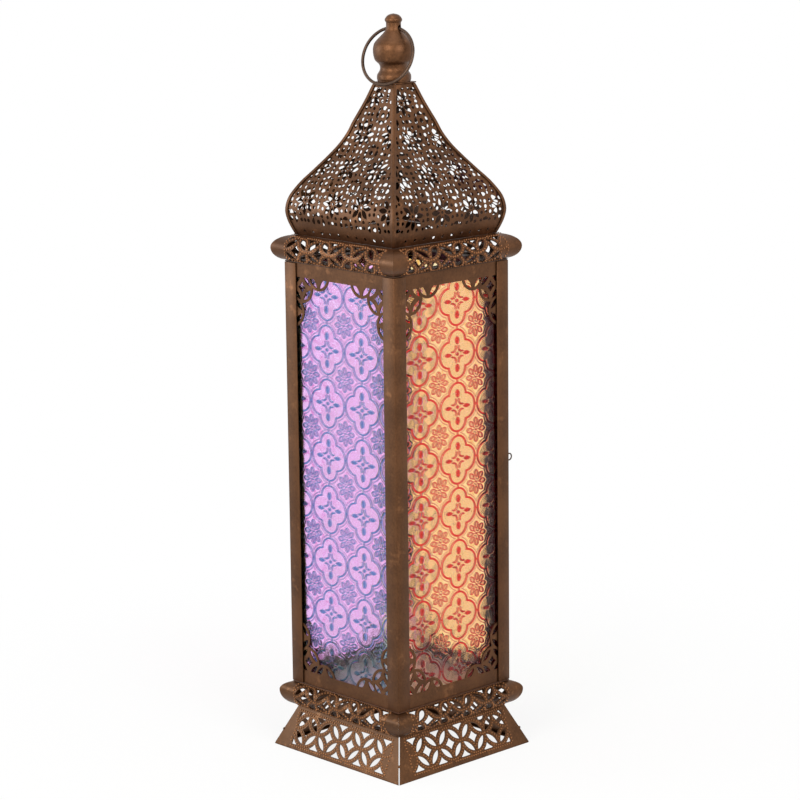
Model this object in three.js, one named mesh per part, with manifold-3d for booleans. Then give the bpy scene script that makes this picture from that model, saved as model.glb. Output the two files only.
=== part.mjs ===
// A standing lantern lamp of sheet metal and pressed glass, in millimetres, +Z up.
// The origin is at the middle of the square that it stands on, and the door faces +Y.
// What is alike on the four sides is built once in the front place, at -Y, and turned.
import * as THREE from "three";
import { mergeVertices } from "three/addons/utils/BufferGeometryUtils.js";
import Module from "manifold-3d";

const wasm = await Module();
wasm.setup();
const { Manifold, Mesh: SolidMesh } = wasm;

// Driving sizes of the whole lantern
const bodyWidth = 158;
const skirtHeight = 42.6;
const lowerCollarHeight = 24.3;
const bodyHeight = 436;
const upperCollarHeight = 25.2;
const domeHeight = 149.7;
const finialHeight = 66.2;

// Sheet metal and the clearances between pieces
const sheet = 1;
const frameSheet = 1.2;
const seam = 0.3;
const cutOverrun = 2;

// Sloped skirt that the lantern stands on
const skirtFootWidth = 187.4;
const skirtTopWidth = 149.4;
const skirtLip = 5;
const skirtCornerGap = 1.8;
const skirtPatternLength = 137;
const skirtPatternHeight = 33.6;
const skirtPatternRise = 6.8;
const skirtPatternShift = 12.3;
const skirtCircle = 16.2;

// Rolled collars below and above the body
const collarReach = 9.8;
const collarLip = 5;
const collarBodyInset = 2.5;

// Posts, rails and the fretted corners of the windows
const postLeg = 16;
const doorPostLeg = 6;
const railHeight = 13.7;
const fretCircle = 14.7;
const fretRim = 1.1;
const fretRoundIn = 8;
const fretRoundDown = 10;
const railLobeIn = 32;
const railLobeOver = 4.2;
const postLobeDown = 35;
const postLobeOver = 5.3;
const doorStopHeight = 6;

// Pressed glass panes and the strips that keep them in
const glassThickness = 3;
const paneTopGap = 3;
const keeperLeg = 10;
const doorGlassLap = 1.5;
const doorGlassEndLap = 3.7;
const channelLip = 2.6;
const latchSideLip = 17;
const channelSheet = 0.8;

// Hipped dome, its corner strips and its cap
const domeFootWidth = 139.8;
const domeBellyWidth = 153.6;
const domeTopWidth = 27.4;
const domeBellyRise = 25.5;
const hipLeg = 4.2;
const hipSheet = 0.8;
const ventCount = 10;
const ventDiameter = 3.4;
const ventRise = 5.6;
const ventRowLength = 113.4;
const domeSlotRows = 7;
const domeSlotRise = 23;
const domeSlotRowPitch = 20;
const domeSlotPitch = 15;
const domeSlotWidth = 3.5;
const domeSlotLength = 15;
const domeSlotMargin = 6;
const roofFrameBar = 20.7;
const capWidth = 31;

// Finial, its stud and nut, and the wire ring
const finialDiameter = 41.2;
const neckHoleDiameter = 5.8;
const neckHoleDrop = 13.8;
const studDiameter = 5;
const studTail = 8;
const studNutAcross = 9;
const studNutHeight = 4;
const ringWire = 3.2;
const ringDiameter = 61.4;
const ringTurn = THREE.MathUtils.degToRad(12);
const ringLean = THREE.MathUtils.degToRad(21.5);

// Door hinges and the turning latch
const doorEndGap = 0.8;
const barrelDiameter = 4.4;
const pinDiameter = 2;
const pinHeadHeight = 1.3;
const leafSheet = 1;
const doorLeafWidth = 8.5;
const leafHeight = 26;
const hingeInset = 62;
const latchRise = 231;
const spindleInset = 3.4;
const spindleDiameter = 3;
const washerDiameter = 6.4;
const washerSheet = 1;
const tongueReach = 8;
const tongueWidth = 3.6;
const eyeWire = 1.4;
const eyeDiameter = 8.2;
const eyeReach = 13.1;

// Lampholder, bulb and the bush for its lead
const holderDiameter = 25;
const holderHeight = 46;
const holderSocketDepth = 26;
const nippleDiameter = 10;
const nippleLength = 9;
const nippleBore = 7;
const lockNutAcross = 14;
const lockNutHeight = 3;
const bulbDiameter = 26;
const bulbLength = 62;
const bulbCapDiameter = 13.6;
const bulbSeat = 20;
const bushDiameter = 10;
const bushBore = 7;
const bushFlange = 14;
const bushFlangeHeight = 2;
const bushLength = 7;
const bushOffset = 38;

// Heights and half widths that follow
const bodyHalf = bodyWidth / 2;
const lowerCollarFoot = skirtHeight + seam;
const plateFoot = lowerCollarFoot + lowerCollarHeight + seam;
const plateTop = plateFoot + frameSheet;
const bodyFoot = plateTop + seam;
const bodyTop = bodyFoot + bodyHeight;
const roofFoot = bodyTop + seam;
const roofTop = roofFoot + frameSheet;
const upperCollarFoot = roofTop + seam;
const upperCollarTop = upperCollarFoot + upperCollarHeight;
const domeFoot = upperCollarTop + seam;
const domeTop = domeFoot + domeHeight;
const capFoot = domeTop + seam;
const capTop = capFoot + frameSheet;
const finialFoot = capTop + seam;
const finialTop = finialFoot + finialHeight;
const postInner = bodyHalf - frameSheet;
const panelOuter = postInner - seam;
const panelInner = panelOuter - sheet;
const panelEnd = panelInner - seam;
const glassOuter = panelInner - seam;
const glassInner = glassOuter - glassThickness;
const keeperOuter = glassInner - seam;
const windowHalf = bodyHalf - postLeg;
const windowFoot = bodyFoot + railHeight;
const windowTop = bodyTop - railHeight;

const finish = (color, roughness, metalness) =>
  new THREE.MeshStandardMaterial({ color, roughness, metalness });
const bronze = finish(0x6a4f3c, 0.45, 0.75);
const darkBronze = finish(0x57402f, 0.5, 0.75);
const ringMetal = finish(0x4c3b2e, 0.4, 0.85);
const steel = finish(0x9c958a, 0.4, 0.9);
const zincSheet = finish(0xb4b1a8, 0.45, 0.6);
const porcelain = finish(0xe8e2d4, 0.35, 0);
const blackPlastic = finish(0x1d1b1a, 0.6, 0);
const clearGlass = finish(0xf4f1e6, 0.1, 0);
const turquoiseGlass = finish(0x6fb6c9, 0.15, 0);
const roseGlass = finish(0xd8597a, 0.15, 0);
const magentaGlass = finish(0xc96fc4, 0.15, 0);
const amberGlass = finish(0xe3a548, 0.15, 0);

const lantern = new THREE.Group();
const quarter = Math.PI / 2;

// A closed three.js geometry becomes a solid to join or cut, and comes back as a geometry
function solid(geometry) {
  const bare = geometry.clone();
  bare.deleteAttribute("normal");
  bare.deleteAttribute("uv");
  const merged = mergeVertices(bare, 1e-4);
  return new Manifold(
    new SolidMesh({
      numProp: 3,
      vertProperties: new Float32Array(merged.attributes.position.array),
      triVerts: new Uint32Array(merged.index.array),
    }),
  );
}

function geometryOf(made) {
  const mesh = made.getMesh();
  const geometry = new THREE.BufferGeometry();
  geometry.setAttribute("position", new THREE.BufferAttribute(mesh.vertProperties.slice(), 3));
  geometry.setIndex(new THREE.BufferAttribute(mesh.triVerts.slice(), 1));
  const flat = geometry.toNonIndexed();
  flat.computeVertexNormals();
  return flat;
}

const join = (solids) => solids.reduce((all, one) => all.add(one));
const cut = (body, ...solids) => solids.reduce((left, one) => left.subtract(one), body);

function piece(name, shape, material, parent = lantern) {
  const geometry = shape.isBufferGeometry ? shape : geometryOf(shape);
  const mesh = new THREE.Mesh(geometry, material);
  mesh.name = name;
  parent.add(mesh);
  return mesh;
}

// Blocks, prisms and round bars

function block(low, high) {
  const size = high.map((value, axis) => value - low[axis]);
  const geometry = new THREE.BoxGeometry(...size);
  geometry.translate(...low.map((value, axis) => value + size[axis] / 2));
  return solid(geometry);
}

function prism(points, depth) {
  const shape = new THREE.Shape(points.map(([x, y]) => new THREE.Vector2(x, y)));
  return new THREE.ExtrudeGeometry(shape, { depth, bevelEnabled: false });
}

const frameOf = (...axes) => new THREE.Matrix4().makeBasis(...axes.map((axis) => new THREE.Vector3(...axis)));

// An outline with x along a face and z up, from y = low to y = high.
function facePlate(points, low, high) {
  const geometry = prism(points, high - low);
  geometry.applyMatrix4(frameOf([1, 0, 0], [0, 0, 1], [0, -1, 0]));
  geometry.translate(0, high, 0);
  return solid(geometry);
}

// An outline in plan, from z = low to z = high.
function standing(points, low, high) {
  const geometry = prism(points, high - low);
  geometry.translate(0, 0, low);
  return solid(geometry);
}

function circlePoints(x, y, radius, steps) {
  return Array.from({ length: steps }, (_, i) => {
    const turn = (i / steps) * 2 * Math.PI;
    return [x + radius * Math.cos(turn), y + radius * Math.sin(turn)];
  });
}

const roundBar = (x, y, diameter, low, high, steps = 16) =>
  standing(circlePoints(x, y, diameter / 2, steps), low, high);
const hexBar = (across, low, high) => roundBar(0, 0, across / Math.cos(quarter / 3), low, high, 6);

const turned = (profile, steps) =>
  solid(new THREE.LatheGeometry(profile.map(([x, y]) => new THREE.Vector2(x, y)), steps).rotateX(quarter));

// The four sides in the order that quarter turns visit them
const sides = ["front", "right", "back", "left"];
const sideGroups = sides.map((_, index) => {
  const group = new THREE.Group();
  group.rotation.z = index * quarter;
  lantern.add(group);
  return group;
});

// A strip along the front with this section, as [out from the middle, height] points, and
// its ends mitred on the corner lines, half of the gap back from each.
function mitredStrip(section, gap) {
  const reach = Math.max(...section.map(([out]) => out)) + cutOverrun;
  const low = Math.min(...section.map(([, height]) => height)) - cutOverrun;
  const high = Math.max(...section.map(([, height]) => height)) + cutOverrun;
  const geometry = prism(section, 2 * reach);
  geometry.applyMatrix4(frameOf([0, -1, 0], [0, 0, 1], [-1, 0, 0]));
  geometry.translate(reach, 0, 0);
  const back = gap / Math.SQRT2;
  const wedge = [
    [0, -back],
    [-(reach - back), -reach],
    [reach - back, -reach],
  ];
  return solid(geometry).intersect(standing(wedge, low, high));
}

// The same line of [out, height] points set inwards by a distance, or outwards if negative.
function setIn(points, distance) {
  return points.map((point, i) => {
    const before = points[Math.max(i - 1, 0)];
    const after = points[Math.min(i + 1, points.length - 1)];
    const along = new THREE.Vector2(after[0] - before[0], after[1] - before[1]).normalize();
    return [point[0] - along.y * distance, point[1] + along.x * distance];
  });
}

const sheetSection = (points, thickness) => [...points, ...setIn(points, thickness).reverse()];

// Pierced work: petals where circles cross and the curved diamonds that the petals leave.
// The circles stand in rows, each one a diagonal step of circle * sqrt(2) from the next.

const petalSteps = 3;
const diamondSteps = 2;
const petalBowShare = 0.885;
const diamondBowShare = 1.17;

function arc(x, y, radius, from, to, steps) {
  return Array.from({ length: steps }, (_, i) => {
    const turn = from + ((to - from) * i) / steps;
    return [x + radius * Math.cos(turn), y + radius * Math.sin(turn)];
  });
}

// The four centres that lie a diagonal step from x, y, with the direction of each.
function neighbours(x, y, circle) {
  return [0, 1, 2, 3].map((turn) => {
    const away = turn * quarter + quarter / 2;
    const step = circle * Math.SQRT2;
    return [x + step * Math.cos(away), y + step * Math.sin(away), away];
  });
}

function petals(x, y, circle) {
  const radius = circle * petalBowShare;
  const half = Math.acos(circle / Math.SQRT2 / radius);
  return neighbours(x, y, circle).map(([farX, farY, away]) => [
    ...arc(x, y, radius, away - half, away + half, petalSteps),
    ...arc(farX, farY, radius, away + Math.PI - half, away + Math.PI + half, petalSteps),
  ]);
}

function diamond(x, y, circle) {
  const radius = circle * diamondBowShare;
  const half = quarter / 2 - Math.acos(circle / radius);
  return neighbours(x, y, circle).flatMap(([farX, farY, away]) =>
    arc(farX, farY, radius, away + Math.PI + half, away + Math.PI - half, diamondSteps),
  );
}

// Skirt: sloped panels with a foot and a top edge turned in, open at the corners

function skirtPanel() {
  const foot = skirtFootWidth / 2;
  const top = skirtTopWidth / 2;
  const slope = Math.hypot(foot - top, skirtHeight);
  const across = (sheet * slope) / skirtHeight;
  const outAt = (height) => foot - ((foot - top) * height) / skirtHeight;
  const section = [
    [foot - skirtLip - across, 0],
    [foot, 0],
    [top, skirtHeight],
    [top - skirtLip, skirtHeight],
    [top - skirtLip, skirtHeight - sheet],
    [outAt(skirtHeight - sheet) - across, skirtHeight - sheet],
    [outAt(sheet) - across, sheet],
    [foot - skirtLip - across, sheet],
  ];
  const lean = [0, (foot - top) / slope, skirtHeight / slope];
  const place = frameOf([1, 0, 0], lean, [0, -lean[2], lean[1]]).setPosition(0, -foot, 0);
  const depth = 2 * cutOverrun;
  const cutter = (points) => {
    const geometry = prism(points, depth);
    geometry.translate(0, 0, -depth / 2);
    return solid(geometry.applyMatrix4(place));
  };
  const end = skirtPatternLength / 2;
  const low = skirtPatternRise;
  const high = low + skirtPatternHeight;
  const middle = (low + high) / 2;
  const columns = Math.ceil((end + Math.abs(skirtPatternShift)) / (2 * skirtCircle));
  const holes = [];
  for (let column = -columns; column <= columns; column += 1) {
    const x = skirtPatternShift + column * 2 * skirtCircle;
    holes.push(...petals(x, middle, skirtCircle), diamond(x, middle, skirtCircle));
    holes.push(diamond(x + skirtCircle, middle + skirtCircle, skirtCircle));
    holes.push(diamond(x + skirtCircle, middle - skirtCircle, skirtCircle));
  }
  const shown = holes.filter((points) => points.some(([x]) => Math.abs(x) < end));
  const field = cutter([
    [-end, low],
    [end, low],
    [end, high],
    [-end, high],
  ]);
  return cut(mitredStrip(section, skirtCornerGap), join(shown.map(cutter)).intersect(field));
}

// Collars: half-round strips that meet the body on one edge and the dome or skirt on the other

const upperWaistShare = 0.5;
const lowerWaistShare = 0.65;
const collarSteps = 5;

function collar(foot, height, footHalf, topHalf, waistShare) {
  const tip = bodyHalf + collarReach;
  const waist = height * waistShare;
  const bow = (out, rise, from, to) =>
    Array.from({ length: collarSteps + 1 }, (_, i) => {
      const turn = from + ((to - from) * i) / collarSteps;
      return [out + (tip - out) * Math.cos(turn), foot + waist + rise * Math.sin(turn)];
    });
  const line = [
    [footHalf - collarLip, foot],
    ...bow(footHalf, waist, -quarter, 0),
    ...bow(topHalf, height - waist, 0, quarter).slice(1),
    [topHalf - collarLip, foot + height],
  ];
  return mitredStrip(sheetSection(line, sheet), seam);
}

const collarBodyHalf = bodyHalf - collarBodyInset;
sides.forEach((side, index) => {
  const group = sideGroups[index];
  const lower = collar(lowerCollarFoot, lowerCollarHeight, skirtTopWidth / 2, collarBodyHalf, lowerWaistShare);
  const upper = collar(upperCollarFoot, upperCollarHeight, collarBodyHalf, domeFootWidth / 2, upperWaistShare);
  piece("skirt_" + side, skirtPanel(), bronze, group);
  piece("lower_collar_" + side, lower, darkBronze, group);
  piece("upper_collar_" + side, upper, bronze, group);
});

// Floor plate with holes for the lampholder's nipple and the bush, and the open roof frame

const plateHalf = bodyHalf - seam;

function floorPlate() {
  const plate = block([-plateHalf, -plateHalf, plateFoot], [plateHalf, plateHalf, plateTop]);
  const low = plateFoot - cutOverrun;
  const high = plateTop + cutOverrun;
  const nippleHole = roundBar(0, 0, nippleDiameter + 2 * seam, low, high);
  const bushHole = roundBar(-bushOffset, bushOffset, bushDiameter + 2 * seam, low, high);
  return cut(plate, nippleHole, bushHole);
}

function roofFrame() {
  const open = plateHalf - roofFrameBar;
  const low = roofFoot - cutOverrun;
  const high = roofTop + cutOverrun;
  return cut(
    block([-plateHalf, -plateHalf, roofFoot], [plateHalf, plateHalf, roofTop]),
    block([-open, -open, low], [open, open, high]),
  );
}

piece("floor_plate", floorPlate(), zincSheet);
piece("roof_frame", roofFrame(), darkBronze);

// Corner posts: folded angles, with narrow legs on the door's side. Places in a corner are
// given inwards from its outer edge, and put in the corner with these signs of x and y.

const inCorner = (signX, signY, half, points) => points.map(([x, y]) => [signX * (half - x), signY * (half - y)]);

function cornerPost(signX, signY, legX, legY) {
  const section = [
    [0, 0],
    [legX, 0],
    [legX, frameSheet],
    [frameSheet, frameSheet],
    [frameSheet, legY],
    [0, legY],
  ];
  return standing(inCorner(signX, signY, bodyHalf, section), bodyFoot, bodyTop);
}

piece("post_front_left", cornerPost(-1, -1, postLeg, postLeg), bronze);
piece("post_front_right", cornerPost(1, -1, postLeg, postLeg), bronze);
piece("post_back_right", cornerPost(1, 1, doorPostLeg, postLeg), bronze);
piece("post_back_left", cornerPost(-1, 1, doorPostLeg, postLeg), bronze);

// Fretted corners: a round of petals in each corner of a window, with a lobe along the rail
// and a lobe down the post. Up is 1 at the top of the window and -1 at its foot.

const discSteps = 20;

function fretCorner(signX, up, low, high) {
  const edge = up > 0 ? windowTop : windowFoot;
  const at = (inwards, down) => [signX * (windowHalf - inwards), edge - up * down];
  const round = at(fretRoundIn, fretRoundDown);
  const discs = [round, at(railLobeIn, -railLobeOver), at(-postLobeOver, postLobeDown)];
  const rim = fretCircle + fretRim;
  const plate = join(discs.map(([x, z]) => facePlate(circlePoints(x, z, rim, discSteps), low, high)));
  const outlines = [...discs.flatMap(([x, z]) => petals(x, z, fretCircle)), diamond(...round, fretCircle)];
  const holes = join(outlines.map((points) => facePlate(points, low - cutOverrun, high + cutOverrun)));
  return { plate, holes };
}

// The part of a face's sheet above or below the window's edge, with its two fretted corners.
function frettedEdge(up, half, outer, low, high) {
  const edge = up > 0 ? windowTop : windowFoot;
  const reach = postLobeDown + fretCircle + fretRim + cutOverrun;
  const span = (from, to) => (from < to ? [from, to] : [to, from]);
  const [railLow, railHigh] = span(edge, outer);
  const [allLow, allHigh] = span(edge - up * reach, outer);
  const [openLow, openHigh] = span(edge - up * reach, edge);
  const corners = [-1, 1].map((signX) => fretCorner(signX, up, low, high));
  const field = block([-half, low - cutOverrun, openLow], [half, high + cutOverrun, openHigh]);
  const plates = join(corners.map((corner) => corner.plate));
  const rail = block([-half, low, railLow], [half, high, railHigh]);
  const whole = rail.add(plates.intersect(block([-half, low, allLow], [half, high, allHigh])));
  return cut(whole, join(corners.map((corner) => corner.holes)).intersect(field));
}

sides.forEach((side, index) => {
  if (side === "back") return;
  const group = sideGroups[index];
  piece("top_rail_" + side, frettedEdge(1, panelEnd, bodyTop, -panelOuter, -panelInner), bronze, group);
  piece("bottom_rail_" + side, frettedEdge(-1, panelEnd, bodyFoot, -panelOuter, -panelInner), bronze, group);
});

// Lintel and sill that the door closes against
piece(
  "back_lintel",
  block([-panelEnd, panelInner, bodyTop - doorStopHeight], [panelEnd, panelOuter, bodyTop]),
  darkBronze,
);
piece(
  "back_sill",
  block([-panelEnd, panelInner, bodyFoot], [panelEnd, panelOuter, bodyFoot + doorStopHeight]),
  darkBronze,
);

// Glass of the three fixed sides, and the angle strips that hold its edges in the corners

const paneHalf = glassInner - seam;
const paneMaterials = { front: turquoiseGlass, right: roseGlass, left: magentaGlass };
Object.entries(paneMaterials).forEach(([side, material]) => {
  const pane = block([-paneHalf, -glassOuter, bodyFoot], [paneHalf, -glassInner, bodyTop - paneTopGap]);
  piece("glass_" + side, pane, material, sideGroups[sides.indexOf(side)]);
});

function frontKeeper(signX) {
  const section = [
    [0, 0],
    [keeperLeg, 0],
    [keeperLeg, sheet],
    [sheet, sheet],
    [sheet, keeperLeg],
    [0, keeperLeg],
  ];
  return standing(inCorner(signX, -1, keeperOuter, section), bodyFoot, bodyTop);
}

function backKeeper(signX) {
  const inner = keeperOuter - sheet;
  const section = [
    [inner, keeperOuter - keeperLeg],
    [keeperOuter, keeperOuter - keeperLeg],
    [keeperOuter, glassInner],
    [glassOuter, glassInner],
    [glassOuter, glassInner + sheet],
    [inner, glassInner + sheet],
  ];
  return standing(section.map(([x, y]) => [signX * x, y]), bodyFoot, bodyTop);
}

piece("glass_keeper_front_left", frontKeeper(-1), darkBronze);
piece("glass_keeper_front_right", frontKeeper(1), darkBronze);
piece("glass_keeper_back_right", backKeeper(1), darkBronze);
piece("glass_keeper_back_left", backKeeper(-1), darkBronze);

// Door: a framed sheet between the back posts, its pane, and the channels that hold the pane

const doorHalf = bodyHalf - doorPostLeg - seam;
const doorFoot = bodyFoot + doorEndGap;
const doorTop = bodyTop - doorEndGap;
const doorPaneHalf = windowHalf + doorGlassLap;
const doorPaneFoot = windowFoot - doorGlassEndLap;
const doorPaneTop = windowTop + doorGlassEndLap;
const spindleX = doorHalf - spindleInset;
const latchZ = bodyFoot + latchRise;

function doorFrame() {
  const stile = (signX) => {
    const [low, high] = signX > 0 ? [windowHalf, doorHalf] : [-doorHalf, -windowHalf];
    return block([low, postInner, doorFoot], [high, bodyHalf, doorTop]);
  };
  const top = frettedEdge(1, doorHalf, doorTop, postInner, bodyHalf);
  const bottom = frettedEdge(-1, doorHalf, doorFoot, postInner, bodyHalf);
  const spindleHole = circlePoints(spindleX, latchZ, spindleDiameter / 2 + seam, 12);
  return cut(
    join([top, bottom, stile(-1), stile(1)]),
    facePlate(spindleHole, postInner - cutOverrun, bodyHalf + cutOverrun),
  );
}

const doorPaneOuter = postInner - seam;
const doorPaneInner = doorPaneOuter - glassThickness;

function glassChannel(signX) {
  const web = doorPaneHalf + seam;
  const behind = doorPaneInner - seam;
  const lip = signX > 0 ? latchSideLip : channelLip;
  const section = [
    [web, doorPaneOuter],
    [web, behind],
    [web - lip, behind],
    [web - lip, behind - channelSheet],
    [web + channelSheet, behind - channelSheet],
    [web + channelSheet, doorPaneOuter],
  ];
  return standing(section.map(([x, y]) => [signX * x, y]), doorPaneFoot, doorPaneTop);
}

piece("door_frame", doorFrame(), bronze);
piece(
  "door_glass",
  block([-doorPaneHalf, doorPaneInner, doorPaneFoot], [doorPaneHalf, doorPaneOuter, doorPaneTop]),
  amberGlass,
);
piece("door_channel_hinge_side", glassChannel(-1), darkBronze);
piece("door_channel_latch_side", glassChannel(1), darkBronze);

// Butt hinges on the outside of the door's left edge: a leaf on the post, one on the door, a pin

const hingeX = -(doorHalf + seam / 2);
const leafFace = bodyHalf + seam;
const hingeY = leafFace + barrelDiameter / 2;

function barrel(diameter, low, high) {
  return roundBar(hingeX, hingeY, diameter, low, high, 14);
}

function hingeLeaf(foot, onDoor) {
  const top = foot + leafHeight;
  const knuckle = (leafHeight - 2 * seam) / 3;
  const middle = [foot + knuckle + seam, top - knuckle - seam];
  const outer = onDoor ? hingeX + doorLeafWidth : -(bodyHalf - seam);
  const [low, high] = onDoor ? [hingeX, outer] : [outer, hingeX];
  const flap = block([low, leafFace, foot], [high, leafFace + leafSheet, top]);
  const own = onDoor ? [middle] : [[foot, foot + knuckle], [top - knuckle, top]];
  const others = onDoor
    ? [[foot - cutOverrun, middle[0]], [middle[1], top + cutOverrun]]
    : [[foot + knuckle, top - knuckle]];
  const cleared = cut(flap, ...others.map(([a, b]) => barrel(barrelDiameter + 2 * seam, a, b)));
  const knuckles = own.map(([a, b]) => barrel(barrelDiameter, a, b));
  const bore = barrel(pinDiameter + 2 * seam, foot - cutOverrun, top + cutOverrun);
  return cut(join([cleared, ...knuckles]), bore);
}

function hingePin(foot) {
  const headFoot = foot + leafHeight + seam;
  return barrel(pinDiameter, foot, headFoot).add(barrel(barrelDiameter, headFoot, headFoot + pinHeadHeight));
}

const hingeFeet = { lower: bodyFoot + hingeInset, upper: bodyTop - hingeInset - leafHeight };
Object.entries(hingeFeet).forEach(([place, foot]) => {
  piece(place + "_hinge_post_leaf", hingeLeaf(foot, false), bronze);
  piece(place + "_hinge_door_leaf", hingeLeaf(foot, true), bronze);
  piece(place + "_hinge_pin", hingePin(foot), steel);
});

// Latch: a wire eye on a stem outside, with a washer, and a tongue inside that turns behind the post

function latch() {
  const washerFoot = bodyHalf + seam;
  const washerTop = washerFoot + washerSheet;
  const tongueTop = postInner - seam;
  const tongueFoot = tongueTop - frameSheet;
  const half = tongueWidth / 2;
  const disc = (diameter, low, high) =>
    facePlate(circlePoints(spindleX, latchZ, diameter / 2, 14), low, high);
  const radius = (eyeDiameter - eyeWire) / 2;
  const middle = washerTop + eyeReach - eyeDiameter / 2;
  const eye = new THREE.TorusGeometry(radius, eyeWire / 2, 8, 20);
  eye.rotateY(quarter);
  eye.translate(spindleX, middle, latchZ);
  return join([
    disc(washerDiameter, washerFoot, washerTop),
    disc(spindleDiameter, tongueFoot, washerTop),
    disc(eyeWire, washerFoot, middle - radius),
    block(
      [spindleX - half, tongueFoot, latchZ - tongueReach],
      [spindleX + half, tongueTop, latchZ + half],
    ),
    solid(eye),
  ]);
}

piece("latch", latch(), ringMetal);

// Dome: an ogee section, bellied near its foot, the same on all four sides

const domeShares = [
  [0.098, 0.959],
  [0.211, 0.834],
  [0.3, 0.699],
  [0.412, 0.532],
  [0.515, 0.393],
  [0.611, 0.296],
  [0.694, 0.236],
  [0.842, 0.114],
  [1, 0],
];
const bellySteps = 3;

function domeLine() {
  const foot = domeFootWidth / 2;
  const belly = domeBellyWidth / 2;
  const top = domeTopWidth / 2;
  const swell = Array.from({ length: bellySteps + 1 }, (_, i) => {
    const share = i / bellySteps;
    return [foot + (belly - foot) * Math.sin(share * quarter), domeFoot + domeBellyRise * share];
  });
  const above = domeTop - domeFoot - domeBellyRise;
  const rest = domeShares.map(([up, out]) => [
    top + (belly - top) * out,
    domeFoot + domeBellyRise + above * up,
  ]);
  return [...swell, ...rest];
}

// The point of a line of [out, height] points that lies this length along it from its start.
function pointAlong(line, length) {
  let left = length;
  for (let i = 0; i + 1 < line.length; i += 1) {
    const [from, to] = [line[i], line[i + 1]];
    const step = Math.hypot(to[0] - from[0], to[1] - from[1]);
    if (left <= step) {
      const share = left / step;
      return [from[0] + (to[0] - from[0]) * share, from[1] + (to[1] - from[1]) * share];
    }
    left -= step;
  }
  return line[line.length - 1];
}

// The pierced field of a panel: rows of upright slots, each cut square to the slope there.
function domeSlots() {
  const line = domeLine();
  const [across, up] = [domeSlotWidth / 2, domeSlotLength / 2];
  const depth = 4 * cutOverrun;
  const cutters = [];
  for (let row = 0; row < domeSlotRows; row += 1) {
    const middle = domeSlotRise + row * domeSlotRowPitch;
    const below = pointAlong(line, middle - up);
    const above = pointAlong(line, middle + up);
    const rise = Math.hypot(above[0] - below[0], above[1] - below[1]);
    const lean = [0, (below[0] - above[0]) / rise, (above[1] - below[1]) / rise];
    const centre = [(below[0] + above[0]) / 2, (below[1] + above[1]) / 2];
    const place = frameOf([1, 0, 0], lean, [0, -lean[2], lean[1]]).setPosition(0, -centre[0], centre[1]);
    const room = above[0] - domeSlotMargin - across;
    const columns = Math.floor((2 * room) / domeSlotPitch) + 1;
    for (let column = 0; column < columns; column += 1) {
      const x = (column - (columns - 1) / 2) * domeSlotPitch;
      const geometry = prism(
        [
          [x - across, -up],
          [x + across, -up],
          [x + across, up],
          [x - across, up],
        ],
        depth,
      );
      geometry.translate(0, 0, -depth / 2);
      cutters.push(solid(geometry.applyMatrix4(place)));
    }
  }
  return join(cutters);
}

function domePanel() {
  const panel = cut(mitredStrip(sheetSection(domeLine(), sheet), seam), domeSlots());
  const pitch = ventRowLength / (ventCount - 1);
  const height = domeFoot + ventRise;
  const low = -domeBellyWidth / 2 - cutOverrun;
  const vents = Array.from({ length: ventCount }, (_, i) => {
    const x = -ventRowLength / 2 + i * pitch;
    return facePlate(circlePoints(x, height, ventDiameter / 2, 6), low, low / 2);
  });
  return cut(panel, join(vents));
}

// A folded strip over the corner between two panels, clear of them by the seam.
function domeHip() {
  const line = domeLine();
  const level = (points) =>
    points.map(([out, height]) => [out, Math.min(Math.max(height, domeFoot), domeTop)]);
  const under = level(setIn(line, -seam));
  const over = level(setIn(line, -seam - hipSheet));
  const rings = line.map((_, i) => {
    const [overOut, overHeight] = over[i];
    const [underOut, underHeight] = under[i];
    const leg = Math.min(hipLeg - overOut, -underOut + seam);
    return [
      [-overOut, -overOut, overHeight],
      [leg, -overOut, overHeight],
      [leg, -underOut, underHeight],
      [-underOut, -underOut, underHeight],
      [-underOut, leg, underHeight],
      [-overOut, leg, overHeight],
    ];
  });
  const size = rings[0].length;
  const index = [];
  for (let i = 0; i + 1 < rings.length; i += 1) {
    for (let j = 0; j < size; j += 1) {
      const [a, b] = [i * size + j, i * size + ((j + 1) % size)];
      index.push(a, b, b + size, a, b + size, a + size);
    }
  }
  const last = (rings.length - 1) * size;
  const caps = [[0, 2, 1], [0, 3, 2], [0, 5, 3], [5, 4, 3]];
  caps.forEach(([a, b, c]) => index.push(a, b, c, last + a, last + c, last + b));
  const geometry = new THREE.BufferGeometry();
  geometry.setAttribute("position", new THREE.Float32BufferAttribute(rings.flat(2), 3));
  geometry.setIndex(index);
  return solid(geometry);
}

sides.forEach((side, index) => piece("dome_" + side, domePanel(), bronze, sideGroups[index]));
const hipNames = ["front_left", "front_right", "back_right", "back_left"];
hipNames.forEach((name, index) => piece("dome_hip_" + name, domeHip(), bronze, sideGroups[index]));

// Cap on the dome, and the finial with its stud, which a nut holds from inside the dome

function domeCap() {
  const half = capWidth / 2;
  return cut(
    block([-half, -half, capFoot], [half, half, capTop]),
    roundBar(0, 0, studDiameter + 2 * seam, capFoot - cutOverrun, capTop + cutOverrun),
  );
}

const finialShares = [
  [0, 0.786],
  [0.025, 0.815],
  [0.05, 0.825],
  [0.1, 0.805],
  [0.155, 0.7],
  [0.207, 0.665],
  [0.26, 0.733],
  [0.311, 0.903],
  [0.383, 0.978],
  [0.465, 1],
  [0.517, 0.978],
  [0.568, 0.922],
  [0.62, 0.786],
  [0.672, 0.617],
  [0.723, 0.466],
  [0.775, 0.372],
  [0.865, 0.36],
  [0.88, 0.39],
  [0.916, 0.417],
  [0.968, 0.3],
  [0.99, 0.16],
  [1, 0],
];
const holeZ = finialTop - neckHoleDrop;
const studFoot = capFoot - seam - studNutHeight - studTail;

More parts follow.
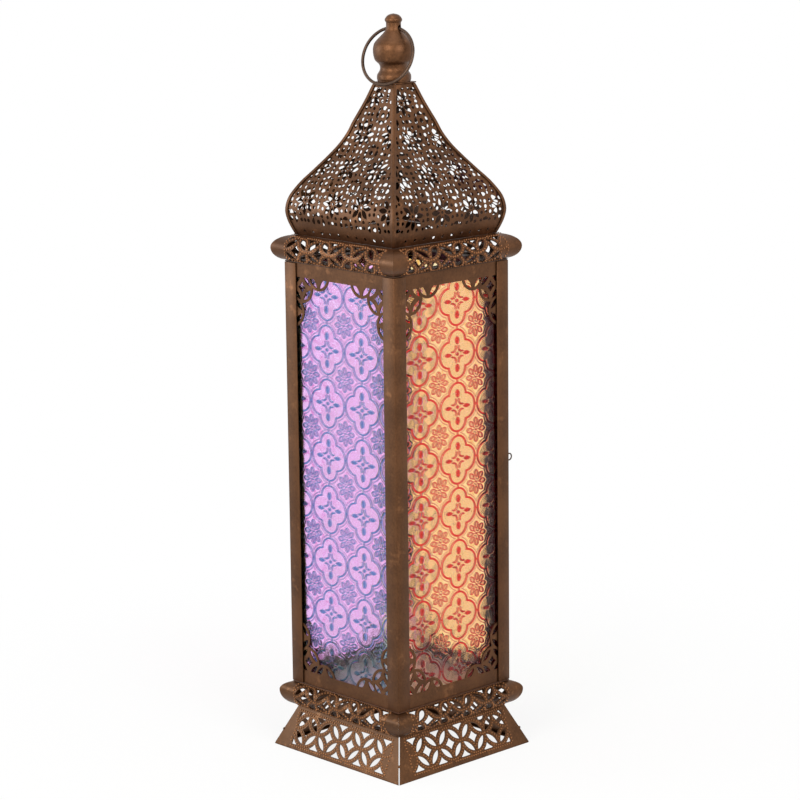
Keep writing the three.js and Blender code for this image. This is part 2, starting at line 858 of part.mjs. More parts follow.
function finial() {
  const edge = finialShares.map(([up, out]) => [(finialDiameter / 2) * out, finialFoot + finialHeight * up]);
  const body = turned([[0, finialFoot], ...edge], 24);
  const stud = roundBar(0, 0, studDiameter, studFoot, finialFoot + seam, 12);
  const through = new THREE.CylinderGeometry(neckHoleDiameter / 2, neckHoleDiameter / 2, finialDiameter, 14);
  through.rotateZ(quarter);
  through.rotateZ(ringTurn);
  through.translate(0, 0, holeZ);
  return cut(body.add(stud), solid(through));
}

piece("dome_cap", domeCap(), bronze);
piece("finial", finial(), bronze);
piece(
  "finial_nut",
  cut(
    hexBar(studNutAcross, capFoot - seam - studNutHeight, capFoot - seam),
    roundBar(0, 0, studDiameter + 2 * seam, capFoot - studNutHeight - cutOverrun, capFoot + cutOverrun, 12),
  ),
  steel,
);

// Hanging ring through the neck, at rest against the front of the dome's top
const ringRadius = (ringDiameter - ringWire) / 2;
const ring = new THREE.TorusGeometry(ringRadius, ringWire / 2, 10, 40);
ring.deleteAttribute("normal");
ring.deleteAttribute("uv");
ring.translate(0, -ringRadius, 0);
ring.rotateX(quarter - ringLean);
ring.rotateZ(ringTurn);
ring.translate(0, 0, holeZ);
piece("hanging_ring", solid(ring), ringMetal);

// Lampholder with its nipple through the floor plate, the nut under it, the bulb and the bush

const holderTop = bodyFoot + holderHeight;
const nippleFoot = bodyFoot - nippleLength;
const socketRadius = bulbCapDiameter / 2 + seam;
const holderProfile = [
  [nippleBore / 2, nippleFoot],
  [nippleDiameter / 2, nippleFoot],
  [nippleDiameter / 2, bodyFoot],
  [holderDiameter / 2, bodyFoot],
  [holderDiameter / 2, holderTop],
  [socketRadius, holderTop],
  [socketRadius, holderTop - holderSocketDepth],
  [nippleBore / 2, holderTop - holderSocketDepth],
  [nippleBore / 2, nippleFoot],
];
piece("lampholder", turned(holderProfile, 20), porcelain);
piece(
  "lampholder_nut",
  cut(
    hexBar(lockNutAcross, plateFoot - seam - lockNutHeight, plateFoot - seam),
    roundBar(0, 0, nippleDiameter + 2 * seam, nippleFoot, plateFoot + cutOverrun),
  ),
  steel,
);

const bulbShares = [
  [0.36, 0.52],
  [0.42, 0.72],
  [0.52, 0.93],
  [0.66, 1],
  [0.8, 0.93],
  [0.9, 0.74],
  [0.97, 0.42],
  [1, 0],
];
const bulbFoot = holderTop - bulbSeat;
piece(
  "bulb",
  turned(
    [
      [0, bulbFoot],
      [bulbCapDiameter / 2, bulbFoot],
      [bulbCapDiameter / 2, bulbFoot + bulbSeat + seam],
      ...bulbShares.map(([up, out]) => [(bulbDiameter / 2) * out, bulbFoot + bulbLength * up]),
    ],
    18,
  ),
  clearGlass,
);

function leadBush() {
  const flangeFoot = plateTop + seam;
  const foot = flangeFoot + bushFlangeHeight - bushLength;
  const profile = [
    [bushBore / 2, foot],
    [bushDiameter / 2, foot],
    [bushDiameter / 2, flangeFoot],
    [bushFlange / 2, flangeFoot],
    [bushFlange / 2, flangeFoot + bushFlangeHeight],
    [bushBore / 2, flangeFoot + bushFlangeHeight],
    [bushBore / 2, foot],
  ];
  return turned(profile, 16);
}

piece("lead_bush", leadBush(), blackPlastic).position.set(-bushOffset, bushOffset, 0);

export default lantern;
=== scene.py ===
"""Looks of a standing lantern lamp: pierced bronze-painted sheet, pressed coloured glass and a hipped dome.

Lengths are millimetres until a piece is placed, and metres in the finished meshes.
"""
import math
from contextlib import contextmanager
from itertools import product

import bpy
import numpy as np
from mathutils import Matrix, Vector


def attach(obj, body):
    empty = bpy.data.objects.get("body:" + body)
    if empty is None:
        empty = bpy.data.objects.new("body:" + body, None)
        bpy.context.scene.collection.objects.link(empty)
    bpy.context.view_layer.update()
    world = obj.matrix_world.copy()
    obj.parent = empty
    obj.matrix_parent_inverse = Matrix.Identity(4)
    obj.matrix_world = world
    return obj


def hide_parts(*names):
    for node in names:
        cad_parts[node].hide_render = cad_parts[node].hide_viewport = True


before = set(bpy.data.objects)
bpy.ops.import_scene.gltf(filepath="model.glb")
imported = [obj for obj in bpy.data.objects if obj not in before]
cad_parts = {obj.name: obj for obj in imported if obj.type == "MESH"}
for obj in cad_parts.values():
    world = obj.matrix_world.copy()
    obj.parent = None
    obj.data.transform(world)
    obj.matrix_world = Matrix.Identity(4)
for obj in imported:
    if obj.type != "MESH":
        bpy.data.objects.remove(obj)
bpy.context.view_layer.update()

# Skirt: four sloped panels of sheet steel, pierced with interlaced circles and studded with small
# beads, then painted bronze. The foot and top edges are folded inwards, and the panels are tacked
# together at the corners by one small weld, so that a slit stays open above and below it.

MM = 0.001
QUARTER = math.pi / 2
SIDES = ("front", "right", "back", "left")
SHEET = 1.0
SKIRT_FOOT, SKIRT_TOP, SKIRT_HEIGHT, SKIRT_LIP = 93.7, 74.7, 42.6, 5.0
SKIRT_GAP = 1.1
SKIRT_CIRCLE = 16.2
SKIRT_MIDDLE, SKIRT_BAND, SKIRT_END = 23.6, 16.8, 68.5
SKIRT_SHIFTS = {"front": 12.3, "right": 20.3, "back": 12.3, "left": 20.3}
SKIRT_DROPS = {"front": 1.5, "right": 0, "back": 0, "left": 0}


def corners(piece):
    """A piece's vertices as an array."""
    co = np.empty(len(piece.data.vertices) * 3)
    piece.data.vertices.foreach_get("co", co)
    return co.reshape(-1, 3)


def set_corners(piece, co):
    piece.data.vertices.foreach_set("co", np.ascontiguousarray(co, dtype=np.float64).ravel())
    piece.data.update()


def only(piece):
    """Selects one piece and nothing else."""
    bpy.ops.object.select_all(action="DESELECT")
    piece.select_set(True)
    bpy.context.view_layer.objects.active = piece
    return piece


def primitive(add, **settings):
    """A new piece from one of Blender's own shapes."""
    bpy.ops.object.select_all(action="DESELECT")
    add(**settings)
    return bpy.context.object


@contextmanager
def editing(piece):
    """Edit mode with the whole piece selected."""
    only(piece)
    bpy.ops.object.mode_set(mode="EDIT")
    bpy.ops.mesh.select_all(action="SELECT")
    yield
    bpy.ops.object.mode_set(mode="OBJECT")


def copy_of(piece, name):
    """A copy with its own mesh."""
    made = piece.copy()
    made.data = piece.data.copy()
    made.name = name
    bpy.context.scene.collection.objects.link(made)
    return made


def discard(piece):
    mesh = piece.data
    bpy.data.objects.remove(piece)
    bpy.data.meshes.remove(mesh)


def new_object(name, data):
    made = bpy.data.objects.new(name, data)
    bpy.context.scene.collection.objects.link(made)
    return made


def mesh_piece(name, points, faces, edges=()):
    mesh = bpy.data.meshes.new(name)
    mesh.from_pydata([tuple(point) for point in points], list(edges), faces)
    return new_object(name, mesh)


def join(pieces):
    """Several pieces as one, which keeps the first one's name."""
    only(pieces[0])
    for other in pieces[1:]:
        other.select_set(True)
    bpy.ops.object.join()
    return pieces[0]


def apply_modifier(piece, kind, **settings):
    only(piece)
    modifier = piece.modifiers.new("work", kind)
    for name, value in settings.items():
        setattr(modifier, name, value)
    bpy.ops.object.modifier_apply(modifier="work")
    return piece


def break_edges(piece, width, angle=30):
    """Rounds the edges that turn by more than an angle, as handling and paint do."""
    limit = math.radians(angle)
    return apply_modifier(piece, "BEVEL", width=width, segments=2, limit_method="ANGLE", angle_limit=limit)


class Section:
    """The line round a sheet's outside as (out from the middle, height) points, by the length along it."""

    def __init__(self, points):
        self.points = np.array(points, float)
        steps = np.diff(self.points, axis=0)
        lengths = np.hypot(steps[:, 0], steps[:, 1])
        self.lengths = np.concatenate([[0], np.cumsum(lengths)])
        faces = np.stack([steps[:, 1], -steps[:, 0]], 1) / lengths[:, None]
        before = np.concatenate([faces[:1], faces])
        after = np.concatenate([faces, faces[-1:]])
        self.normals = (before + after) / (1 + (before * after).sum(1))[:, None]

    def at(self, along, off):
        """(out, height) at a length along the line and a distance off it to the outside."""
        place = [
            np.interp(along, self.lengths, self.points[:, axis])
            + off * np.interp(along, self.lengths, self.normals[:, axis])
            for axis in (0, 1)
        ]
        return place[0], place[1]


def folded(points, radius, steps=4):
    """The same line with each inner corner rounded as a fold in sheet is."""
    points = [np.array(point, float) for point in points]
    line = [points[0]]
    for before, corner, after in zip(points, points[1:], points[2:]):
        start = corner + (before - corner) / np.linalg.norm(before - corner) * radius
        end = corner + (after - corner) / np.linalg.norm(after - corner) * radius
        for share in np.linspace(0, 1, steps + 1):
            line.append((1 - share) ** 2 * start + 2 * share * (1 - share) * corner + share**2 * end)
    return line + [points[-1]]


def slab(columns, rows):
    """A flat grid one unit thick, its points, and the row value that each point stands for."""
    cuts = len(rows) - 1
    piece = primitive(bpy.ops.mesh.primitive_grid_add, x_subdivisions=columns, y_subdivisions=cuts, size=2)
    with editing(piece):
        bpy.ops.mesh.extrude_region_move(TRANSFORM_OT_translate={"value": (0, 0, -1)})
        bpy.ops.mesh.select_all(action="SELECT")
        bpy.ops.mesh.normals_make_consistent(inside=False)
    co = corners(piece)
    return piece, co, rows[np.round((co[:, 1] + 1) / 2 * cuts).astype(int)]


def blank(section, gap, thickness):
    """A flat strip, x along the side and y along its section, with its ends cut to meet the next side
    on the corner line less half of the gap. Its top is the outside."""
    piece, co, along = slab(1, section.lengths)
    off = np.round(co[:, 2]) * thickness
    out, _ = section.at(along, off)
    set_corners(piece, np.stack([np.sign(co[:, 0]) * (out - gap / math.sqrt(2)), along, off], 1))
    return piece


def polar(x, y, radius, turn):
    """The point a radius away from x, y in a direction."""
    return x + radius * math.cos(turn), y + radius * math.sin(turn)


def circle(x, y, radius, steps):
    return [polar(x, y, radius, turn) for turn in np.arange(steps) / steps * 2 * math.pi]


def arc(x, y, radius, start, end, steps):
    return [polar(x, y, radius, start + (end - start) * step / steps) for step in range(steps)]


def neighbours(x, y, size):
    """The four circle centres a diagonal step away, each with its direction."""
    turns = [QUARTER * (turn + 0.5) for turn in range(4)]
    return [(*polar(x, y, size * math.sqrt(2), turn), turn) for turn in turns]


PETAL_SHARE, DIAMOND_SHARE = 0.885, 1.17


def petals(x, y, size):
    """The four petals in which the circle at x, y crosses its neighbours."""
    radius = size * PETAL_SHARE
    half = math.acos(size / math.sqrt(2) / radius)
    return [
        arc(x, y, radius, turn - half, turn + half, 6)
        + arc(far_x, far_y, radius, turn + math.pi - half, turn + math.pi + half, 6)
        for far_x, far_y, turn in neighbours(x, y, size)
    ]


def diamond(x, y, size):
    """The hollow-sided diamond that the four neighbours leave at a circle's centre."""
    radius = size * DIAMOND_SHARE
    half = QUARTER / 2 - math.acos(size / radius)
    return [
        point
        for far_x, far_y, turn in neighbours(x, y, size)
        for point in arc(far_x, far_y, radius, turn + math.pi + half, turn + math.pi - half, 4)
    ]


def clipped(outline, edges):
    """The part of an outline on the inner side of each edge, given as (normal x, normal y, distance)."""
    for nx, ny, limit in edges:
        kept = []
        for (ax, ay), (bx, by) in zip(outline, outline[1:] + outline[:1]):
            a, b = limit - nx * ax - ny * ay, limit - nx * bx - ny * by
            if a >= 0:
                kept.append((ax, ay))
            if a * b < 0:
                share = a / (a - b)
                kept.append((ax + (bx - ax) * share, ay + (by - ay) * share))
        outline = kept
    return outline


def area(outline):
    pairs = zip(outline, outline[1:] + outline[:1])
    return sum(ax * by - bx * ay for (ax, ay), (bx, by) in pairs) / 2


def inside_edges(outlines, edges, least=1.2):
    """The outlines cut back to the edges, without the slivers, all turning the same way."""
    kept = [clipped(outline, edges) for outline in outlines]
    kept = [outline if area(outline) > 0 else outline[::-1] for outline in kept if len(outline) > 2]
    return [outline for outline in kept if area(outline) > least]


def punches(outlines, low, high):
    """Prisms with these outlines, as one piece."""
    points, faces = [], []
    for outline in outlines:
        first, size = len(points), len(outline)
        points += [(x, y, low) for x, y in outline] + [(x, y, high) for x, y in outline]
        faces.append([first + i for i in reversed(range(size))])
        faces.append([first + size + i for i in range(size)])
        for i in range(size):
            after = (i + 1) % size
            faces.append([first + i, first + after, first + size + after, first + size + i])
    return mesh_piece("punch", points, faces)


def combine(piece, other, operation):
    """Cuts another piece out of this one, or adds it, and takes the other away."""
    apply_modifier(piece, "BOOLEAN", operation=operation, solver="MANIFOLD", object=other)
    discard(other)
    return piece


def punch(piece, outlines, reach=5):
    return combine(piece, punches(outlines, -reach, reach), "DIFFERENCE")


# One raised bead, sunk a little into the sheet, that the strips are studded with copies of.
BEAD_RADIUS, BEAD_RISE, BEAD_PITCH = 1.1, 0.95, 3.2
BORDER, OVERLAP, RIB_SHARE = 1.9, 0.3, 1.03
one_bead = primitive(bpy.ops.mesh.primitive_uv_sphere_add, segments=7, ring_count=4, radius=1)
one_bead.name = "bead"
set_corners(one_bead, corners(one_bead) * (BEAD_RADIUS, BEAD_RADIUS, BEAD_RISE))


def stud(piece, places):
    """Adds copies of the bead to a flat sheet."""
    shape = corners(one_bead)
    faces = [list(face.vertices) for face in one_bead.data.polygons]
    points = np.concatenate([shape + (x, y, 0) for x, y in places])
    all_faces = [[i + k * len(shape) for i in face] for k in range(len(places)) for face in faces]
    beads = mesh_piece("beads", points, all_faces)
    # The beads are marked so that the paint gives them a painted highlight.
    raised = beads.data.attributes.new("raised", "FLOAT", "POINT")
    raised.data.foreach_set("value", [1.0] * len(points))
    return join([piece, beads])


def lattice(shift, middle, band, end, size):
    """Interlaced circles in one row, cut back to a band: their holes, and where beads go on the ribs and
    along the band's border. A petal that the ends would cut in half is left out."""
    edges = [(1, 0, end), (-1, 0, end), (0, 1, middle + band), (0, -1, band - middle)]
    columns = range(-6, 7)
    holes, centres = [], []
    for column in columns:
        x = shift + column * 2 * size
        holes += [petal for petal in petals(x, middle, size) if abs(np.mean(petal, axis=0)[0]) < end - 2]
        holes.append(diamond(x, middle, size))
        holes += [diamond(x + size, middle + size, size), diamond(x + size, middle - size, size)]
        centres += [(x, middle), (x + size, middle + size), (x + size, middle - size)]
    rib = size * RIB_SHARE
    ring = circle(0, 0, rib, round(2 * math.pi * rib / BEAD_PITCH))
    spots = [(cx + x, cy + y) for cx, cy in centres for x, y in ring]
    for row in (middle - band - BORDER, middle + band + BORDER):
        spots += [(x, row) for x in np.arange(-end - 1, end + 1, BEAD_PITCH)]
    for column in (-end - BORDER, end + BORDER):
        spots += [(column, y) for y in np.arange(middle - band, middle + band, BEAD_PITCH)]
    beads = []
    reach = BORDER + OVERLAP
    for x, y in spots:
        within = abs(x) < end + reach and abs(y - middle) < band + reach
        if within and all((x - a) ** 2 + (y - b) ** 2 > (0.75 * BEAD_PITCH) ** 2 for a, b in beads):
            beads.append((x, y))
    return inside_edges(holes, edges), beads


def roll(piece, section):
    """Bends a flat piece round a section and stands it on the front side, still in millimetres."""
    co = corners(piece)
    out, height = section.at(co[:, 1], co[:, 2])
    set_corners(piece, np.stack([co[:, 0], -out, height], 1))
    return piece


def smooth(piece, angle=35):
    only(piece)
    bpy.ops.object.shade_smooth_by_angle(angle=math.radians(angle))
    return piece


def place(piece, name, material, body="lantern", slot="bronze_finish", replaces=(), turn=0):
    """Turns a finished piece round the lantern, brings it to metres, and says what it is."""
    piece.data.transform(Matrix.Scale(MM, 4) @ Matrix.Rotation(turn, 4, "Z"))
    piece.name = name
    piece.data.materials.clear()
    piece.data.materials.append(material)
    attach(piece, body)
    if replaces:
        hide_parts(*replaces)


class Wire:
    """A socket in a material. Arithmetic on wires adds Math nodes."""

    def __init__(self, tree, socket=None):
        self.tree = tree
        self.socket = socket

    def add(self, kind, inputs=None, out=0, **settings):
        """A node with this wire's tree, its inputs and settings, as the wire of one of its outputs."""
        node = self.tree.nodes.new("ShaderNode" + kind)
        for name, value in settings.items():
            setattr(node, name, value)
        for name, value in (inputs or {}).items():
            if isinstance(value, Wire):
                self.tree.links.new(value.socket, node.inputs[name])
            else:
                node.inputs[name].default_value = value
        return Wire(self.tree, node.outputs[out])

    def math(self, operation, first, second=0.0):
        return self.add("Math", {0: first, 1: second}, operation=operation)

    def __add__(self, other):
        return self.math("ADD", self, other)

    __radd__ = __add__

    def __sub__(self, other):
        return self.math("SUBTRACT", self, other)

    def __rsub__(self, other):
        return self.math("SUBTRACT", other, self)

    def __mul__(self, other):
        return self.math("MULTIPLY", self, other)

    def __abs__(self):
        return self.math("ABSOLUTE", self)

    def noise(self, scale, detail=3.0, roughness=0.55):
        """Cloudy noise on this wire's coordinates, scale in clouds per metre."""
        inputs = {"Vector": self, "Scale": scale, "Detail": detail, "Roughness": roughness}
        return self.add("TexNoise", inputs)

    def between(self, low, high, from_value=0.0, to_value=1.0):
        """This value's way from low to high, smoothed, as a value from one to the other."""
        inputs = {"Value": self, "From Min": low, "From Max": high, "To Min": from_value, "To Max": to_value}
        return self.add("MapRange", inputs, interpolation_type="SMOOTHSTEP")

    def blend(self, colour_a, colour_b):
        """Colour a where this is 0 and colour b where it is 1."""
        full = [(*c, 1) if isinstance(c, tuple) else c for c in (colour_a, colour_b)]
        return self.add("Mix", {0: self, 6: full[0], 7: full[1]}, 2, data_type="RGBA")

    def part(self, axis):
        """One of this wire's coordinates: 0 for x, 1 for y, 2 for z."""
        return self.add("SeparateXYZ", {0: self}, axis)

    def bump(self, strength, distance):
        """The bent normal that this wire gives as a height."""
        return self.add("Bump", {"Strength": strength, "Distance": distance, "Height": self})

    def ray(self, kind):
        """1 for one kind of ray and 0 for the others."""
        return self.add("LightPath", out=f"Is {kind} Ray")


def least(a, b):
    return a.math("MINIMUM", a, b) if isinstance(a, Wire) else np.minimum(a, b)


def most(a, b):
    return a.math("MAXIMUM", a, b) if isinstance(a, Wire) else np.maximum(a, b)


def new_material(name):
    """A material with its output and object coordinates, ready for wires."""
    material = bpy.data.materials.new(name)
    material.use_nodes = True
    material.node_tree.nodes.clear()
    wire = Wire(material.node_tree)
    return material, wire, wire.add("TexCoord", out="Object")


def use_surface(surface, output="OutputMaterial"):
    """Joins a shader to the material's or the world's output."""
    end = surface.tree.nodes.new("ShaderNode" + output)
    surface.tree.links.new(surface.socket, end.inputs["Surface"])


def painted_metal(name, dark, light, metal=0.86, rough=0.43, inner=0.7):
    """Satin metallic paint on sheet: clouded colour, fine grain from the spraying, rub marks in patches, and
    a
    painted highlight on its beads. The faces towards the lantern's middle have the dark tone times inner:
    painted shade where inner is below 1, painted light where it is above 1."""
    material, wire, spot = new_material(name)
    clouds = spot.noise(26, 4)
    fine = spot.noise(420, 2)
    rubbed = spot.noise(70, 5, 0.65).between(0.56, 0.72)
    tone = (clouds * 0.6 + fine * 0.4).between(0.32, 0.68)
    colour = tone.blend(dark, light)
    # A lighter warm tone: rub marks in random patches, and a painted highlight on every bead.
    painted_highlight_and_rub_tone = tuple(min(1.0, channel * 2.4 + 0.006) for channel in light)
    raised = wire.add("Attribute", out=2, attribute_name="raised")
    colour = most(rubbed * 0.4, raised * 0.8).blend(colour, painted_highlight_and_rub_tone)
    level = wire.add("VectorMath", {0: spot, 1: (1, 1, 0)}, operation="MULTIPLY")
    face = wire.add("TexCoord", out="Normal")
    facing = wire.add("VectorMath", {0: face, 1: level}, 1, operation="DOT_PRODUCT")
    # Faces towards the lantern's middle get painted shade when inner is below 1 and painted light when it is
    # above 1.
    painted_inside_light_and_shade = tuple(channel * inner for channel in dark)
    shader = {
        "Base Color": facing.between(-0.02, -0.004, 1.0, 0.0).blend(colour, painted_inside_light_and_shade),
        "Roughness": fine.between(0.3, 0.7, rough - 0.05, rough + 0.07) - rubbed * 0.06,
        "Metallic": metal,
        "Coat Weight": 0.1,
        "Coat Roughness": 0.32,
        "Normal": (fine * 0.35 + spot.noise(1400, 1) * 0.65).bump(0.3, 0.0002),
    }
    use_surface(wire.add("BsdfPrincipled", shader))
    return material


# bronze paints shade on its inward faces; low_bronze, for the skirt and lower collar, paints light on them.
bronze = painted_metal("bronze_paint", (0.079, 0.0315, 0.0112), (0.143, 0.059, 0.022), inner=0.6)
low_bronze = painted_metal("low_bronze_paint", (0.076, 0.031, 0.0105), (0.138, 0.058, 0.021), inner=1.6)

skirt_line = [
    (SKIRT_FOOT - SKIRT_LIP, 0),
    (SKIRT_FOOT, 0),
    (SKIRT_TOP, SKIRT_HEIGHT),
    (SKIRT_TOP - SKIRT_LIP, SKIRT_HEIGHT),
]
skirt_section = Section(folded(skirt_line, 1.6))
slope_start = skirt_section.lengths[1] + 1.3
TACK_SIZE, TACK_ALONG, TACK_OUT, TACK_DEEP = (1.7, 1.5, 0.8), 17.5, 0.4, 0.5
for index, side in enumerate(SIDES):
    panel = blank(skirt_section, SKIRT_GAP, SHEET)
    middle = slope_start + SKIRT_MIDDLE - SKIRT_DROPS[side]
    holes, beads = lattice(SKIRT_SHIFTS[side], middle, SKIRT_BAND, SKIRT_END, SKIRT_CIRCLE)
    stud(punch(panel, holes), beads)
    tack = primitive(bpy.ops.mesh.primitive_uv_sphere_add, segments=16, ring_count=8, radius=1)
    tack_along = slope_start + TACK_ALONG
    tack_half = skirt_section.at(tack_along, 0)[0] - SKIRT_GAP / math.sqrt(2) + TACK_OUT
    set_corners(tack, corners(tack) * TACK_SIZE + (tack_half, tack_along, -TACK_DEEP))
    panel = smooth(roll(join([panel, tack]), skirt_section))
    place(panel, "skirt_panel_" + side, low_bronze, replaces=["skirt_" + side], turn=index * QUARTER)

# Lower collar: four half-round strips of the same pierced and beaded sheet between the skirt and the
# floor plate. They are rolled to shape, mitred at the corners and left plain for the last 20 mm.

COLLAR_TIP, COLLAR_LIP, MITRE, SEAM = 88.8, 5.0, 0.05, 0.3
COLLAR_END = 66.5
LOWER_FOOT, LOWER_HEIGHT, LOWER_WAIST = 42.9, 24.3, 0.65
LOWER_FOOT_HALF, BODY_SEAT_HALF = 74.7, 76.5
LOWER_MIDDLE, LOWER_BAND = 25.5, 16.4
LOWER_SHIFTS = {"front": 14.2, "right": 18.3, "back": 14.2, "left": 15.6}


def collar_section(foot, height, foot_half, top_half, waist_share):
    """The outside of a collar: a lip, a quarter ellipse out to the tip, one back, and a lip."""
    waist = height * waist_share
    line = [(foot_half - COLLAR_LIP, foot)]
    for half, size, turns in (
        (foot_half, waist, np.linspace(-QUARTER, 0, 15)),
        (top_half, height - waist, np.linspace(0, QUARTER, 15)[1:]),
    ):
        bulge = COLLAR_TIP - half
        line += [(half + bulge * math.cos(turn), foot + waist + size * math.sin(turn)) for turn in turns]
    return Section(line + [(top_half - COLLAR_LIP, foot + height)])


def collar(name, section, middle, band, shifts, material):
    for index, side in enumerate(SIDES):
        strip = blank(section, MITRE, SHEET)
        holes, beads = lattice(shifts[side], middle, band, COLLAR_END, SKIRT_CIRCLE)
        strip = smooth(roll(stud(punch(strip, holes), beads), section))
        place(strip, name + "_strip_" + side, material, replaces=[name + "_" + side], turn=index * QUARTER)


lower_section = collar_section(LOWER_FOOT, LOWER_HEIGHT, LOWER_FOOT_HALF, BODY_SEAT_HALF, LOWER_WAIST)
collar("lower_collar", lower_section, LOWER_MIDDLE, LOWER_BAND, LOWER_SHIFTS, low_bronze)

# Floor plate of zinc-plated sheet, and what stands on it: a porcelain lampholder on a threaded
# nipple with its lock nut under the plate, a clear bulb, and a plastic bush for the lead.


def merged(node):
    """A copy of a CAD piece in millimetres, with its loose triangles joined into whole faces."""
    made = copy_of(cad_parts[node], node + "_copy")
    made.parent = None
    for key in [key for key in made.keys() if key.startswith("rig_")]:
        del made[key]
    made.data.transform(Matrix.Scale(1 / MM, 4))
    with editing(made):
        bpy.ops.mesh.remove_doubles(threshold=0.004)
        bpy.ops.mesh.dissolve_limited(angle_limit=math.radians(1))
    return made


def place_softened(node, name, material, width, **said):
    """Places a copy of a CAD piece with its edges broken, as folded or cut sheet has."""
    place(smooth(break_edges(merged(node), width, 40)), name, material, replaces=[node], **said)


def lathe(profile, steps):
    """A turned solid from (radius, height) points."""
    edges = [(i, i + 1) for i in range(len(profile) - 1)]
    line = mesh_piece("turned", [(radius, 0, height) for radius, height in profile], [], edges)
    weld = {"use_merge_vertices": True, "merge_threshold": 0.001, "use_normal_calculate": False}
    apply_modifier(line, "SCREW", steps=steps, render_steps=steps, **weld)
    with editing(line):
        bpy.ops.mesh.remove_doubles(threshold=0.001)
        bpy.ops.mesh.normals_make_consistent(inside=False)
    return line


def curve_through(points, steps):
    """A smooth line through the points, with this many steps between each two."""
    points = np.array(points, float)
    padded = np.concatenate([2 * points[:1] - points[1:2], points, 2 * points[-1:] - points[-2:-1]])
    line = []
    for a, b, c, d in zip(padded, padded[1:], padded[2:], padded[3:]):
        for share in np.arange(steps) / steps:
            line.append(0.5 * (2 * b + (c - a) * share + (2 * a - 5 * b + 4 * c - d) * share**2
                               + (3 * b - a - 3 * c + d) * share**3))
    return line + [points[-1]]


def turned_line(shares, radius, foot, height, steps):
    """A smooth line through (share of the height, share of the radius) points, kept inside both."""
    line = curve_through([(radius * out, foot + height * up) for up, out in shares], steps)
    return [(min(max(out, 0), radius), min(up, foot + height)) for out, up in line]


def plated(name, colour, rough, metal=0.9, painted_past=None):
    """Bright plated steel, slightly clouded and scuffed, with overspray of the bronze paint past a
    distance from the lantern's middle where one is given."""
    material, wire, spot = new_material(name)
    clouds = spot.noise(60, 4)
    scuffs = spot.noise(900, 2)
    darker = tuple(channel * 0.72 for channel in colour)
    paint = clouds.between(0.35, 0.65).blend(darker, colour)
    if painted_past:
        edge = most(abs(spot.part(0)), abs(spot.part(1)))
        paint = edge.between(painted_past - MM, painted_past).blend(paint, (0.115, 0.05, 0.025))
    shader = {
        "Base Color": paint,
        "Roughness": (clouds * 0.5 + scuffs * 0.5).between(0.3, 0.7, rough - 0.06, rough + 0.1),
        "Metallic": metal,
        "Normal": scuffs.bump(0.2, 0.0001),
    }
    use_surface(wire.add("BsdfPrincipled", shader))
    return material


def glazed(name, colour, rough, speckle):
    """Porcelain or moulded plastic: nearly one colour, with faint clouds and a slightly uneven gloss."""
    material, wire, spot = new_material(name)
    clouds = spot.noise(90, 3)
    fine = spot.noise(1100, 2)
    darker = tuple(channel * speckle for channel in colour)
    shader = {
        "Base Color": (clouds * 0.7 + fine * 0.3).between(0.3, 0.7).blend(darker, colour),
        "Roughness": fine.between(0.3, 0.7, rough - 0.05, rough + 0.08),
        "Normal": (clouds + fine).bump(0.15, 0.0001),
    }
    use_surface(wire.add("BsdfPrincipled", shader))
    return material


def use_glass(colour, rough, index, normal, shade):
    """Glass whose shadow is only tinted, so that the lamps light what stands behind it."""
    shader = {
        "Base Color": colour,
        "Roughness": rough,
        "Transmission Weight": 1.0,
        "IOR": index,
        "Normal": normal,
    }
    body = colour.add("BsdfPrincipled", shader)
    open_body = colour.add("BsdfTransparent", {"Color": (*shade, 1)})
    use_surface(colour.add("MixShader", {0: colour.ray("Shadow"), 1: body, 2: open_body}))


def clear_glass(name, tint):
    """Thin clear glass with faint streaks."""
    material, _, spot = new_material(name)
    streaks = spot.noise(40, 2)
    colour = streaks.blend(tint, tuple(min(1.0, channel * 1.03) for channel in tint))
    use_glass(colour, 0.02, 1.45, streaks.bump(0.1, 0.0002), tint)
    return material


zinc = plated("zinc_plate", (0.55, 0.55, 0.53), 0.42, 0.6, painted_past=0.0768)
steel = plated("bright_steel", (0.5, 0.48, 0.45), 0.3)
porcelain = glazed("porcelain_glaze", (0.8, 0.77, 0.7), 0.25, 0.93)
plastic = glazed("black_plastic", (0.02, 0.019, 0.018), 0.5, 0.6)
bulb_glass = clear_glass("bulb_glass", (0.98, 0.98, 0.96))
filament_glow = glazed("filament_coating", (0.85, 0.6, 0.12), 0.5, 0.9)

place_softened("floor_plate", "floor_plate_sheet", zinc, 0.3, slot="zinc_sheet")

holder_profile = [
    (3.5, 60), (5, 60), (5, 61), *[(5 if i % 2 else 4.6, 61.5 + i * 0.5) for i in range(14)], (5, 69),
    (11.3, 69), (12.2, 69.3), (12.5, 70.2), (12.5, 80), (12.1, 81), (11.6, 81.6), (11.6, 84.4), (12.1, 85),
    (12.5, 86), (12.5, 112.6), (12.2, 114.2), (11.2, 115), (8.4, 115), (7.5, 114.6), (7.1, 113.8),
    (7.1, 89), (3.5, 89), (3.5, 60),
]
holder = smooth(lathe(holder_profile, 64))
place(holder, "lampholder_body", porcelain, slot="porcelain", replaces=["lampholder"])
place_softened("lampholder_nut", "lampholder_lock_nut", steel, 0.3, slot="steel")

